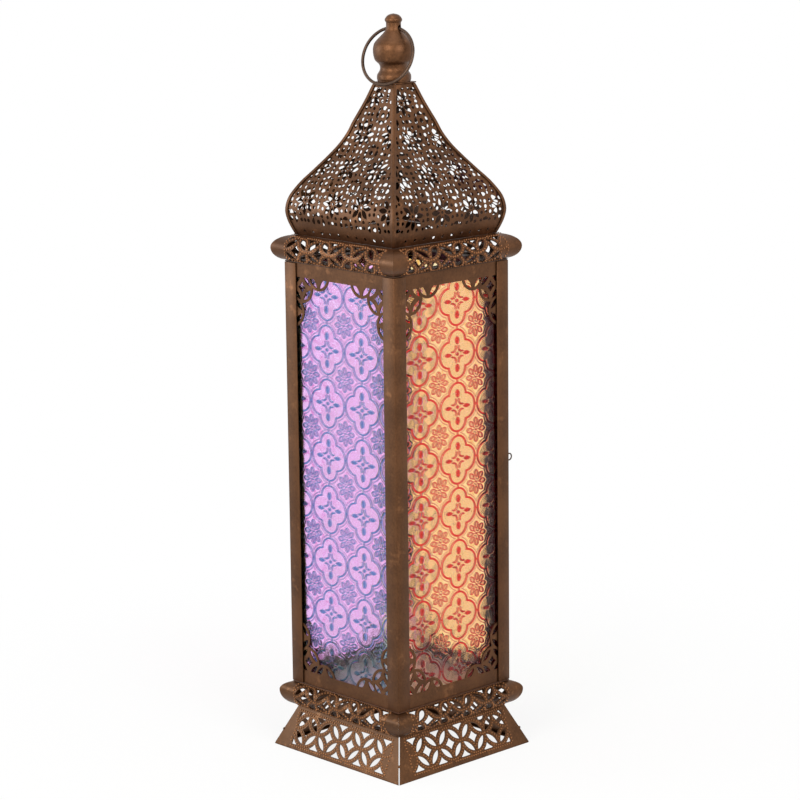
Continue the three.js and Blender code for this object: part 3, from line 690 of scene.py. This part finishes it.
BULB_FOOT, BULB_LENGTH, BULB_RADIUS = 95.0, 62.0, 13.0
bulb_shares = [(0.33, 0.5), (0.36, 0.52), (0.42, 0.72), (0.52, 0.93), (0.66, 1), (0.8, 0.93),
               (0.9, 0.74), (0.97, 0.42), (1, 0)]
bulb_line = turned_line(bulb_shares, BULB_RADIUS, BULB_FOOT, BULB_LENGTH, 6)
envelope = lathe([(0, bulb_line[0][1])] + bulb_line, 48)
place(smooth(envelope), "bulb_envelope", bulb_glass, slot="clear_glass", replaces=["bulb"])
cap_line = [(0, 95), (2.4, 95), (2.6, 96.4), (4.6, 97.4)]
cap_line += [(6.75 if i % 3 == 1 else 6.15, 98.2 + i * 0.75) for i in range(18)]
cap_line += [(6.3, 112), (6.3, 115.3), (0, 115.3)]
place(smooth(lathe(cap_line, 40)), "bulb_screw_cap", steel, slot="steel")
FILAMENT_RADIUS, FILAMENT_LONG, FILAMENT_SPOT = 0.75, 24, (4.2, 0, 134)
sticks = []
for turn in range(4):
    stick = primitive(
        bpy.ops.mesh.primitive_cylinder_add, vertices=10, radius=FILAMENT_RADIUS, depth=FILAMENT_LONG)
    break_edges(stick, 0.35)
    stick.data.transform(Matrix.Rotation(turn * QUARTER, 4, "Z") @ Matrix.Translation(FILAMENT_SPOT))
    sticks.append(stick)
place(smooth(join(sticks)), "bulb_filaments", filament_glow, slot="clear_glass")

BUSH_SPOT = (-38, 38, 0)
bush_profile = [(3.5, 64), (4.7, 64), (5, 64.4), (5, 69), (6.6, 69), (7, 69.3), (7, 70.6), (6.6, 71),
                (4, 71), (3.5, 70.5), (3.5, 64)]
bush = lathe(bush_profile, 40)
bush.data.transform(Matrix.Translation(BUSH_SPOT))
place(smooth(bush), "lead_bush_ring", plastic, slot="black_plastic", replaces=["lead_bush"])

# Corner posts: angles folded from 1.2 mm sheet, bronze like the rest, that carry the rails and the
# door. The fold leaves a small round on the outer edge.

CORNERS = ("front_left", "front_right", "back_right", "back_left")
for corner in CORNERS:
    place_softened("post_" + corner, "corner_post_" + corner, bronze, 0.45)

# Top and bottom rails of the three fixed sides: 1 mm sheet behind the posts, with fretted rounds of
# petals in the window's corners, a lobe along the rail and a lobe down each post.

BODY_FOOT, BODY_TOP = 69.0, 505.0
WINDOW_HALF, WINDOW_FOOT, WINDOW_TOP = 63.0, 82.7, 491.3
RAIL_HALF, RAIL_OUT = 76.2, 77.5
FRET_CIRCLE, FRET_RIM = 14.7, 1.1
FRET_SPOTS = [(8.0, 10.0), (32.0, -4.2), (-5.3, 35.0)]


def fret_centres(up):
    """For each of the three rounds, its centres in the window's two corners, at the top or the foot."""
    edge = WINDOW_TOP if up > 0 else WINDOW_FOOT
    return [[(sign * (WINDOW_HALF - inwards), edge - up * down) for sign in (-1, 1)]
            for inwards, down in FRET_SPOTS]


def add_frets(piece, up, half, outer, thickness):
    """Adds the fretted rounds to a flat plate and cuts their petals, on the window's side only."""
    edge = WINDOW_TOP if up > 0 else WINDOW_FOOT
    sides = [(1, 0, half), (-1, 0, half), (0, up, up * outer)]
    for centres in fret_centres(up):
        rounds = inside_edges([circle(x, y, FRET_CIRCLE + FRET_RIM, 64) for x, y in centres], sides)
        combine(piece, punches(rounds, -thickness, 0), "UNION")
    for number, centres in enumerate(fret_centres(up)):
        for x, y in centres:
            holes = petals(x, y, FRET_CIRCLE)
            if number == 0:
                holes.append(diamond(x, y, FRET_CIRCLE))
            punch(piece, inside_edges(holes, [(0, up, up * edge), (1, 0, half - 1), (-1, 0, half - 1)]))


def rectangle(half, foot, top):
    return [(-half, foot), (half, foot), (half, top), (-half, top)]


def stand(piece, out):
    """Stands a flat piece upright with its outer face this far from the middle."""
    return roll(piece, Section([(out, 0), (out, 800)]))


RAILS = (("top_rail", 1, WINDOW_TOP, BODY_TOP, BODY_TOP),
         ("bottom_rail", -1, BODY_FOOT, WINDOW_FOOT, BODY_FOOT))
for index, side in enumerate(SIDES):
    if side == "back":
        continue
    for name, up, low, high, outer in RAILS:
        rail = punches([rectangle(RAIL_HALF, low, high)], -SHEET, 0)
        add_frets(rail, up, RAIL_HALF, outer, SHEET)
        place(smooth(stand(rail, RAIL_OUT)), name + "_fret_" + side, bronze,
              replaces=[name + "_" + side], turn=index * QUARTER)

# Panes: pressed glass 3 mm thick, coloured in the mass, with the figure in relief on the outside: rows
# of quatrefoils with a cross of leaves in them and a small flower between each four. The front is
# turquoise, the right side rose, the left side magenta, and the door's pane amber.

GLASS_OUT, GLASS_THICK, PANE_HALF = 76.2, 3.0, 72.9
PANE_FOOT, PANE_TOP = 69.0, 502.0
GRID_CELL = 0.9
RELIEF, LINE_RISE, PILLOW_RISE = 0.75, 0.45, 0.3
RIPPLE_PITCH = 1.65


def length2(a, b):
    """Length of the arrow (a, b), for arrays or for wires."""
    if isinstance(a, Wire):
        return a.add("VectorMath", {0: a.add("CombineXYZ", {0: a, 1: b})}, 1, operation="LENGTH")
    return np.hypot(a, b)


def bounced(a, size):
    """A value that runs up to size and back down to 0 again and again."""
    if isinstance(a, Wire):
        return a.math("PINGPONG", a, size)
    return np.abs((a - size) % (2 * size) - size)


def edge_of(distance, soft):
    """1 well inside a shape and 0 outside it, from the distance to its edge."""
    if isinstance(distance, Wire):
        return distance.between(-soft, soft, 1.0, 0.0)
    share = np.clip((soft - distance) / (2 * soft), 0, 1)
    return share * share * (3 - 2 * share)


def pressed_figure(across, up, lattice_place, soft, half=1.0):
    """The figure of the pressed glass in millimetres: its raised lines, and how far a point is outside a
    quatrefoil's edge. The same words make the relief, on arrays, and the colour, on wires."""
    column, row, pitch_across, pitch_up = lattice_place
    u = bounced(across - column, pitch_across / 2)
    v = bounced(up - row, pitch_up / 2)
    depth = least(length2(u - 11, v) - 13, length2(u, v - 13) - 11.5)
    outline = edge_of(abs(depth) - half, soft)
    second = edge_of(abs(depth - 3.0) - 0.45, soft) * 0.6
    tall_leaf = length2(u + 3.0, v - 13.9) - 5.4
    wide_leaf = length2(u - 12.6, v + 4.2) - 6.15
    curl = most(abs(length2(u - 6.3, v - 7.0) - 4.5) - 0.8, u + v - 11.0)
    leaves = least(least(tall_leaf, wide_leaf), least(curl, length2(u, v) - 1.8))
    p, q = pitch_across / 2 - u, pitch_up / 2 - v
    bridges = least(most(p - 1.6, v - 0.7), most(u - 0.7, q - 2.0))
    long, short = most(p, q), least(p, q)
    slant, side = (long + short) * 0.7071, (long - short) * 0.7071
    petal = least(length2(long - 8.7, short + 1.9) - 4.2, length2(slant - 8.7, side + 1.9) - 4.2)
    stroke = least(length2((long - 3.2) * 0.45, short) - 0.5, length2((slant - 3.2) * 0.45, side) - 0.5)
    flower = least(least(abs(petal) - 0.5, stroke), length2(p, q) - 1.1)
    fine = edge_of(least(least(leaves, bridges), flower), soft)
    return most(most(outline, second), most(fine, edge_of(petal, soft) * 0.3)), depth


def pressed_pane(half, foot, top, out, lattice_place, flip):
    """A pane whose outer face has the figure in relief, on a fine grid; its back and edges are flat."""
    columns, rows = round(2 * half / GRID_CELL), round((top - foot) / GRID_CELL)
    pane = primitive(bpy.ops.mesh.primitive_grid_add, x_subdivisions=columns, y_subdivisions=rows, size=2)
    set_corners(pane, corners(pane) * (half, (top - foot) / 2, 1) + (0, (top + foot) / 2, 0))
    with editing(pane):
        bpy.ops.mesh.select_mode(type="EDGE")
        bpy.ops.mesh.select_all(action="SELECT")
        bpy.ops.mesh.region_to_loop()
        bpy.ops.mesh.extrude_edges_move(TRANSFORM_OT_translate={"value": (0, 0, -GLASS_THICK)})
        bpy.ops.mesh.edge_face_add()
        bpy.ops.mesh.select_all(action="SELECT")
        bpy.ops.mesh.normals_make_consistent(inside=False)
    co = corners(pane)
    across = co[:, 0] * (-1 if flip else 1)
    lines, depth = pressed_figure(across, co[:, 1], lattice_place, 0.5)
    relief = RELIEF - LINE_RISE * lines - PILLOW_RISE * edge_of(depth + 3, 3.0)
    front = co[:, 2] > -0.5
    edge = np.minimum(half - np.abs(co[:, 0]), np.minimum(co[:, 1] - foot, top - co[:, 1]))
    co[:, 2] -= np.where(front, relief * np.clip(edge / 3, 0, 1), 0)
    set_corners(pane, co)
    return stand(smooth(pane, 50), out)


def pressed_glass(name, axis, lattice_place, half, scatter, clear, lined, inner, flank_shade_colour, shade):
    """Glass coloured in the mass: deeper in colour on the raised lines, which have a painted highlight as a
    pale halo and painted shade on one flank, and finely rippled inside the quatrefoils."""
    material, wire, spot = new_material(name)
    split, up = spot.part(axis) * 1000, spot.part(2) * 1000
    lines, depth = pressed_figure(split, up, lattice_place, 0.28, half)
    # Painted shade on one flank of each line, stronger towards the pane's sides.
    painted_flank_shade, _ = pressed_figure(split + 0.55, up - 0.2, lattice_place, 0.3, half)
    # A painted highlight: a pale halo round each line, where the relief would refract light.
    painted_halo_highlight, _ = pressed_figure(split, up, lattice_place, 1.0)
    within = edge_of(depth + 1.2, 0.5)
    wander = spot.noise(60, 2) * 2
    ripple = wire.math("SINE", (depth + wander) * (2 * math.pi / RIPPLE_PITCH)) * 0.5 + 0.5
    streaks = spot.noise(18, 4)
    colour = (within * ripple.between(0.3, 0.8, 0.35, 1.0)).blend(clear, inner)
    colour = (streaks.between(0.45, 0.75) * 0.25).blend(colour, inner)
    colour = painted_halo_highlight.between(0.05, 0.45, 0.0, 0.6).blend(colour, (1.0, 0.98, 0.98))
    colour = (painted_flank_shade * abs(split).between(15, 60, 0.35, 0.95)).blend(colour, flank_shade_colour)
    colour = lines.blend(colour, lined)
    height = lines * 0.5 + within * (ripple + spot.noise(700, 1)) * scatter + spot.noise(260, 3) * 0.5
    use_glass(colour, 0.06, 1.3, height.bump(0.6, 0.0004), shade)
    return material


PANES = (
    ("front", 0, "turquoise_glass", 0, (-22.2, 476.1, 50, 54.4), 0.75, 0.25, (0.93, 1.0, 1.0),
     (0.13, 0.42, 0.58), (0.86, 0.98, 1.0), (0.05, 0.14, 0.36), (0.66, 0.96, 1.0)),
    ("right", 1, "rose_glass", 1, (10.3, 471.9, 51.6, 53.6), 0.95, 0.6, (1.0, 0.82, 0.66),
     (0.76, 0.035, 0.04), (0.95, 0.66, 0.52), (0.12, 0.01, 0.03), (0.95, 0.40, 0.46)),
    ("left", 3, "magenta_glass", 1, (3.0, 470.0, 50, 54.4), 1.0, 0.25, (1.0, 0.55, 0.98),
     (0.80, 0.20, 0.66), (0.97, 0.48, 0.92), (0.50, 0.10, 0.42), (0.88, 0.34, 0.78)),
)
for side, turns, slot, axis, lattice_place, *looks in PANES:
    glass = pressed_glass(slot + "_pressed", axis, lattice_place, *looks)
    pane = pressed_pane(PANE_HALF, PANE_FOOT, PANE_TOP, GLASS_OUT, lattice_place, side == "left")
    place(pane, "pane_" + side, glass, slot=slot, replaces=["glass_" + side], turn=turns * QUARTER)

# Keepers: angle strips in the corners that hold the edges of the three fixed panes, and the lintel and
# sill that the door closes against, all of the same sheet. Their paint is a darker copy of the bronze,
# painted shade for the inside of the lantern.

# A darker copy of the bronze paint for the pieces inside the lantern, as painted shade.
dark_bronze = painted_metal("dark_bronze_paint", (0.050, 0.024, 0.013), (0.092, 0.044, 0.024))
dark_finish = "dark_bronze_finish"
for corner in CORNERS:
    place_softened("glass_keeper_" + corner, "keeper_angle_" + corner, dark_bronze, 0.25, slot=dark_finish)
for name in ("back_lintel", "back_sill"):
    place_softened(name, name + "_strip", dark_bronze, 0.25, slot=dark_finish)

# Door: a frame of 1.2 mm sheet between the back posts with the same fretted corners, its amber pane,
# and the two folded channels that hold the pane against the frame.

DOOR_HALF, DOOR_FOOT, DOOR_TOP, DOOR_OUT, DOOR_SHEET = 72.7, 69.8, 504.2, 79.0, 1.2
SPINDLE_X, LATCH_Z, SPINDLE_HOLE = 69.3, 300.0, 1.8
DOOR_PANE_HALF, DOOR_PANE_FOOT, DOOR_PANE_TOP, DOOR_PANE_OUT = 64.5, 79.0, 495.0, 77.5

door = punches([rectangle(DOOR_HALF, DOOR_FOOT, DOOR_TOP)], -DOOR_SHEET, 0)
spindle_hole = circle(-SPINDLE_X, LATCH_Z, SPINDLE_HOLE, 24)
punch(door, [rectangle(WINDOW_HALF, WINDOW_FOOT, WINDOW_TOP), spindle_hole])
add_frets(door, 1, DOOR_HALF, DOOR_TOP, DOOR_SHEET)
add_frets(door, -1, DOOR_HALF, DOOR_FOOT, DOOR_SHEET)
place(smooth(stand(door, DOOR_OUT)), "door_fretted_frame", bronze, body="door", replaces=["door_frame"],
      turn=2 * QUARTER)

amber_place = (4.0, 476.0, 50, 54.4)
amber = pressed_glass("amber_glass_pressed", 0, amber_place, 1.0, 0.25, (1.0, 0.88, 0.50),
                      (0.94, 0.55, 0.14), (1.0, 0.82, 0.42), (0.66, 0.30, 0.06), (0.97, 0.70, 0.30))
door_pane = pressed_pane(DOOR_PANE_HALF, DOOR_PANE_FOOT, DOOR_PANE_TOP, DOOR_PANE_OUT, amber_place, True)
place(door_pane, "door_pane", amber, body="door", slot="amber_glass", replaces=["door_glass"],
      turn=2 * QUARTER)
# The channels inside the door have the darker paint as painted shade.
for name in ("door_channel_hinge_side", "door_channel_latch_side"):
    place_softened(name, name + "_fold", dark_bronze, 0.2, body="door", slot=dark_finish)

# Butt hinges on the outside of the door's left edge: a leaf on the post, a leaf on the door, and a
# steel pin with a round head.

for level in ("lower", "upper"):
    for half, body in (("post_leaf", "lantern"), ("door_leaf", "door")):
        node = level + "_hinge_" + half
        place_softened(node, node + "_plate", bronze, 0.2, body=body)
    node = level + "_hinge_pin"
    place_softened(node, node + "_turned", steel, 0.25, slot="steel")

# Latch: a stem whose outer end is bent round into an eye of dark wire, a washer outside the door, and a
# tongue on the same spindle inside that turns behind the post.

dark_wire = painted_metal(
    "dark_wire", (0.05, 0.028, 0.018), (0.10, 0.058, 0.036), metal=0.8, rough=0.38, inner=1)


def bar(radius, start, end):
    """A round bar along Y with broken edges."""
    made = primitive(bpy.ops.mesh.primitive_cylinder_add, vertices=24, radius=radius, depth=end - start)
    break_edges(made, 0.2)
    made.data.transform(Matrix.Translation((0, (start + end) / 2, 0)) @ Matrix.Rotation(QUARTER, 4, "X"))
    return made


def wire_ring(radius, thick, steps, round_steps):
    return primitive(bpy.ops.mesh.primitive_torus_add, major_radius=radius, minor_radius=thick / 2,
                     major_segments=steps, minor_segments=round_steps)


EYE_RADIUS, EYE_WIRE, EYE_MIDDLE = 3.4, 1.4, 89.3
WASHER_RADIUS, WASHER_IN, WASHER_OUT, STEM_IN = 3.2, 79.3, 80.3, 79.8
SPINDLE_RADIUS, SPINDLE_IN = 1.5, 76.3
TONGUE_SIZE, TONGUE_SPOT = (3.6, 1.2, 9.8), (0, 76.9, -3.1)
eye = wire_ring(EYE_RADIUS, EYE_WIRE, 48, 12)
eye.data.transform(Matrix.Translation((0, EYE_MIDDLE, 0)) @ Matrix.Rotation(QUARTER, 4, "Y"))
tongue = primitive(bpy.ops.mesh.primitive_cube_add, size=1)
set_corners(tongue, corners(tongue) * TONGUE_SIZE + TONGUE_SPOT)
break_edges(tongue, 0.3)
stem = bar(EYE_WIRE / 2, STEM_IN, EYE_MIDDLE - EYE_RADIUS)
washer, spindle = bar(WASHER_RADIUS, WASHER_IN, WASHER_OUT), bar(SPINDLE_RADIUS, SPINDLE_IN, WASHER_OUT)
latch = join([washer, spindle, stem, tongue, eye])
latch.data.transform(Matrix.Translation((SPINDLE_X, 0, LATCH_Z)))
place(smooth(latch), "latch_eye", dark_wire, body="latch", slot="dark_wire", replaces=["latch"])

# Roof frame between the body and the upper collar: an open square of sheet, which also spreads the
# dome's weight on the posts. It has the darker copy of the bronze paint as painted shade under the collar.

place_softened("roof_frame", "roof_frame_sheet", dark_bronze, 0.3, slot=dark_finish)

# Upper collar: the same pierced strips as below the body, the other way up. They lie on the roof frame
# under the foot of the dome.

UPPER_FOOT, UPPER_HEIGHT, UPPER_WAIST = 506.8, 25.2, 0.5
UPPER_MIDDLE, UPPER_BAND = 24.4, 16.2
UPPER_SHIFTS = {"front": 13.4, "right": 10.4, "back": 13.4, "left": 10.4}
DOME_FOOT_HALF = 69.9
upper_section = collar_section(UPPER_FOOT, UPPER_HEIGHT, BODY_SEAT_HALF, DOME_FOOT_HALF, UPPER_WAIST)
collar("upper_collar", upper_section, UPPER_MIDDLE, UPPER_BAND, UPPER_SHIFTS, bronze)

# Dome: four ogee panels of sheet pierced all over with wheels of petals, rosettes of curved slots and
# dots. A plain band at the foot has a row of small round vents.

DOME_FOOT, DOME_TOP, DOME_BELLY, DOME_TOP_HALF = 532.3, 682.0, 76.8, 13.7
BELLY_RISE = 25.5
DOME_SHARES = [(0.098, 0.959), (0.211, 0.834), (0.3, 0.699), (0.412, 0.532), (0.515, 0.393),
               (0.611, 0.296), (0.694, 0.236), (0.842, 0.114), (1, 0)]
WHEEL_PITCH, ROW_SHARE, WHEEL_ROW = 40.0, 0.985, 30.5
HUB, PETAL_OUT, PETAL_LONG, PETAL_WIDE = 1.6, 8.7, 5.9, 2.8
TIP_DOT, TIP_OUT, SIDE_DOT, SIDE_STEP = 1.95, 14.9, 2.1, 5.0
ROSETTE_HUB, SLOT_OUT, SLOT_SWEEP, SLOT_WIDE = 2.6, 7.4, 0.6, 2.15
SLANT_DOT, SLANT_OUT = 1.8, 8.6
DOME_SHIFTS = {"front": (9.5, 7.0), "right": (10.0, 0.0), "back": (3.5, 0.0), "left": (10.0, 0.0)}
BAND_TOP, BAND_EDGE, TOP_EDGE, DOME_SHEET = 14.0, 3.4, 4, 0.5


def dome_section():
    """The ogee: a swell up to the belly and a line through the shares above it, in even steps."""
    above = DOME_TOP - DOME_FOOT - BELLY_RISE
    swell = [(DOME_FOOT_HALF + (DOME_BELLY - DOME_FOOT_HALF) * math.sin(share * QUARTER),
              DOME_FOOT + BELLY_RISE * share) for share in (0, 1 / 3, 2 / 3, 1)]
    rest = [(DOME_TOP_HALF + (DOME_BELLY - DOME_TOP_HALF) * out, DOME_FOOT + BELLY_RISE + above * up)
            for up, out in DOME_SHARES]
    line = Section(curve_through(swell + rest, 12))
    return Section(np.stack(line.at(np.linspace(0, line.lengths[-1], 49), 0), 1))


LENS_STEPS = 5


def lens(x, y, long, wide, turn):
    """A pointed oval along a direction, from its half length and half width."""
    radius = (long * long + wide * wide) / (2 * wide)
    half = math.asin(long / radius)
    points = []
    for sign in (1, -1):
        for step in range(LENS_STEPS):
            swing = half - 2 * half * step / LENS_STEPS
            rise = radius * math.cos(swing) - radius + wide
            points.append((sign * radius * math.sin(swing), sign * rise))
    c, s = math.cos(turn), math.sin(turn)
    return [(x + a * c - b * s, y + a * s + b * c) for a, b in points]


def slot_hole(x, y, radius, turn, sweep, wide):
    """A curved slot that follows a circle round x, y."""
    outer = [(radius + wide * math.cos(share * QUARTER), turn + sweep * share)
             for share in np.linspace(-0.96, 0.96, LENS_STEPS + 1)]
    inner = [(2 * radius - far, swing) for far, swing in reversed(outer)]
    return [polar(x, y, far, swing) for far, swing in outer + inner]


def dome_holes(shift, section):
    """The filigree of one panel: wheels on a square lattice, rosettes of curved slots between each four,
    and dots between each two."""
    holes = []
    rows = int(section.lengths[-1] / WHEEL_PITCH) + 1
    half, row_half = WHEEL_PITCH / 2, WHEEL_PITCH / 2 * ROW_SHARE
    for column, row in product(range(-3, 3), range(-1, rows + 1)):
        x = shift[0] + (column + 0.5) * WHEEL_PITCH
        y = WHEEL_ROW + shift[1] + row * WHEEL_PITCH * ROW_SHARE
        holes.append(circle(x, y, HUB, 8))
        for turn in np.arange(8) * QUARTER / 2:
            holes.append(lens(*polar(x, y, PETAL_OUT, turn), PETAL_LONG, PETAL_WIDE, turn))
            holes.append(circle(*polar(x, y, TIP_OUT, turn + QUARTER / 4), TIP_DOT, 7))
        for dot in (-SIDE_STEP, 0, SIDE_STEP):
            holes.append(circle(x + half, y + dot, SIDE_DOT, 7))
            holes.append(circle(x + dot, y + row_half, SIDE_DOT, 7))
        x, y = x + half, y + row_half
        holes.append(circle(x, y, ROSETTE_HUB, 8))
        for turn in np.arange(4) * QUARTER:
            holes.append(slot_hole(x, y, SLOT_OUT, turn, SLOT_SWEEP, SLOT_WIDE))
            holes.append(circle(*polar(x, y, SLANT_OUT, turn + QUARTER / 2), SLANT_DOT, 7))
    kept = []
    top = section.lengths[-1] - TOP_EDGE
    for hole in holes:
        _, cy = np.mean(hole, axis=0)
        if not -half < cy < top + half:
            continue
        near = np.clip([cy - 1, cy + 1], 0, section.lengths[-1])
        (low_out, high_out), _ = section.at(near, 0)
        lean = (high_out - low_out) / 2
        limit = (low_out + high_out) / 2 - BAND_EDGE - lean * cy
        size = math.hypot(1, lean)
        edges = [(1 / size, -lean / size, limit / size), (-1 / size, -lean / size, limit / size),
                 (0, -1, -BAND_TOP), (0, 1, top)]
        kept += inside_edges([hole], edges, 1.8)
    return kept


dome_line = dome_section()
VENT_RISE, VENT_PITCH, VENT_SHIFT, VENT_RADIUS, VENTS = 5.6, 12.6, 0.9, 1.7, 10
for index, side in enumerate(SIDES):
    panel = blank(dome_line, MITRE, DOME_SHEET)
    places = (np.arange(VENTS) - (VENTS - 1) / 2) * VENT_PITCH + VENT_SHIFT
    vents = [circle(x, VENT_RISE, VENT_RADIUS, 12) for x in places]
    punch(panel, dome_holes(DOME_SHIFTS[side], dome_line) + vents)
    place(smooth(roll(panel, dome_line)), "dome_panel_" + side, bronze, replaces=["dome_" + side],
          turn=index * QUARTER)

# Hips: a narrow folded strip of the same painted sheet over each corner of the dome. It is soldered on
# to hide where the panels meet.

HIP_LEG, HIP_SHEET = 3.7, 0.8


def hip_strip():
    """The front left hip: a strip bent along the ogee, whose middle line is the dome's corner."""
    strip, co, along = slab(2, np.linspace(0, dome_line.lengths[-1], 61))
    top = np.round(co[:, 2]) == 0
    over, over_height = dome_line.at(along, SEAM + HIP_SHEET)
    under, under_height = dome_line.at(along, SEAM)
    out = np.where(top, over, under)
    height = np.clip(np.where(top, over_height, under_height), DOME_FOOT, DOME_TOP)
    leg = HIP_LEG - over
    side = np.round(co[:, 0])
    x = np.where(side > 0, leg, -out)
    y = np.where(side < 0, leg, -out)
    set_corners(strip, np.stack([x, y, height], 1))
    return smooth(break_edges(strip, 0.25, 50))


hip = hip_strip()
for index, corner in enumerate(CORNERS):
    place(copy_of(hip, corner), "hip_strip_" + corner, bronze, replaces=["dome_hip_" + corner],
          turn=index * QUARTER)
discard(hip)

# Cap: a small square plate that closes the dome under the finial. The stud passes through its middle
# and clamps it.

place_softened("dome_cap", "dome_cap_plate", bronze, 0.4)

# Finial: a baluster and ball turned from one piece with its stud, painted, with a hole through the
# neck for the ring. A nut holds the stud from inside the dome.

FINIAL_FOOT, FINIAL_HEIGHT, FINIAL_RADIUS = 683.8, 66.2, 20.6
HOLE_Z, HOLE_RADIUS, RING_TURN = 736.2, 2.9, math.radians(12)
FINIAL_SHARES = [
    (0, 0.786), (0.025, 0.815), (0.05, 0.825), (0.1, 0.805), (0.155, 0.7), (0.207, 0.665), (0.26, 0.733),
    (0.311, 0.903), (0.383, 0.978), (0.465, 1), (0.517, 0.978), (0.568, 0.922), (0.62, 0.786),
    (0.672, 0.617), (0.723, 0.466), (0.775, 0.372), (0.865, 0.36), (0.88, 0.39), (0.916, 0.417),
    (0.968, 0.3), (0.99, 0.16), (1, 0),
]
finial_line = turned_line(FINIAL_SHARES, FINIAL_RADIUS, FINIAL_FOOT, FINIAL_HEIGHT, 4)
stud_line = [(0, 669.7), (2.2, 669.7), (2.5, 670.2)]
stud_line += [(2.5 if i % 2 else 2.2, 670.6 + i * 0.4) for i in range(24)]
stud_line += [(2.5, 680.5), (2.5, FINIAL_FOOT)]
finial = lathe(stud_line + finial_line, 72)
bore = primitive(bpy.ops.mesh.primitive_cylinder_add, vertices=32, radius=HOLE_RADIUS, depth=60)
at_hole = Matrix.Translation((0, 0, HOLE_Z)) @ Matrix.Rotation(RING_TURN, 4, "Z")
bore.data.transform(at_hole @ Matrix.Rotation(QUARTER, 4, "Y"))
combine(finial, bore, "DIFFERENCE")
place(smooth(finial, 40), "finial_turned", bronze, replaces=["finial"])
place_softened("finial_nut", "finial_hex_nut", steel, 0.25, slot="steel")

# Hanging ring: a closed ring of 3.2 mm wire through the finial's neck, darker than the paint, that
# lies against the front of the dome's top.

RING_WIRE, RING_RADIUS, RING_LEAN = 3.2, 29.1, math.radians(21.5)
ring = wire_ring(RING_RADIUS, RING_WIRE, 128, 20)
leaning = Matrix.Rotation(QUARTER - RING_LEAN, 4, "X")
ring.data.transform(at_hole @ leaning @ Matrix.Translation((0, -RING_RADIUS, 0)))
place(smooth(ring), "ring_of_wire", dark_wire, body="ring", slot="dark_wire", replaces=["hanging_ring"])
discard(one_bead)

# Floor: a plain pale sweep that keeps the lantern's shadow near it and fades to white further out.

floor = primitive(bpy.ops.mesh.primitive_circle_add, vertices=96, radius=2.2, fill_type="NGON")
floor.name = "studio_floor"
floor_paint, wire, spot = new_material("studio_floor_paint")
away = wire.add("VectorMath", {0: spot}, 1, operation="LENGTH")
looked_at = most(most(wire.ray("Camera"), wire.ray("Transmission")), wire.ray("Glossy") * 0.6)
matt = wire.add("BsdfDiffuse", {"Color": (0.86, 0.86, 0.85, 1), "Roughness": 0.6})
glow = wire.add("Emission", {"Color": (1, 1, 1, 1), "Strength": 1.0})
white_share = looked_at * away.between(0.1, 0.75, 0.85, 1.0)
use_surface(wire.add("MixShader", {0: white_share, 1: matt, 2: glow}))
floor.data.materials.append(floor_paint)

# World: white where the camera, a reflection or the glass looks at it, and a softer grey as the light.

world = bpy.data.worlds.new("studio")
bpy.context.scene.world = world
world.use_nodes = True
world.node_tree.nodes.clear()
sky = Wire(world.node_tree)
looked_at = most(most(sky.ray("Camera"), sky.ray("Glossy")), sky.ray("Transmission"))
background = sky.add("Background", {"Color": (1, 1, 1, 1), "Strength": 0.5 + looked_at * 0.5})
use_surface(background, "OutputWorld")


def softbox(name, spot, size, power, colour=(1, 1, 1)):
    """A square soft lamp that looks at the middle of the lantern."""
    lamp = bpy.data.lights.new(name, "AREA")
    lamp.shape = "SQUARE"
    lamp.size = size
    lamp.energy = power
    lamp.color = colour
    holder = new_object(name, lamp)
    holder.location = spot
    holder.rotation_euler = (Vector((0, 0, 0.36)) - Vector(spot)).to_track_quat("-Z", "Y").to_euler()


softbox("key_front", (0.5, -2.1, 1.5), 1.1, 24, (1.0, 0.95, 0.87))
softbox("side_left", (-1.6, -1.5, 0.9), 1.0, 14, (0.72, 0.86, 1.0))
softbox("fill_right", (2.0, -0.4, 1.2), 1.1, 17, (1.0, 0.97, 0.96))
softbox("top", (0.2, -0.3, 2.3), 1.0, 5)

# Camera at the photograph's viewing angle, from the near corner and a little above.

CAMERA_TURN, CAMERA_AWAY, CAMERA_HEIGHT = math.radians(46.3712), 2.77551, 0.94621
CAMERA_PITCH, CAMERA_YAW, CAMERA_ROLL = math.radians(11.8747), math.radians(-0.0452), math.radians(-0.6549)
CAMERA_LENS = 126.52
camera = new_object("camera", bpy.data.cameras.new("camera"))
camera.matrix_world = (
    Matrix.Rotation(CAMERA_TURN, 4, "Z") @ Matrix.Translation((0, -CAMERA_AWAY, CAMERA_HEIGHT))
    @ Matrix.Rotation(CAMERA_YAW, 4, "Z") @ Matrix.Rotation(QUARTER - CAMERA_PITCH, 4, "X")
    @ Matrix.Rotation(CAMERA_ROLL, 4, "Z")
)
camera.data.lens = CAMERA_LENS
camera.data.sensor_width = 36
bpy.context.scene.camera = camera
bpy.context.scene.view_settings.view_transform = "Standard"
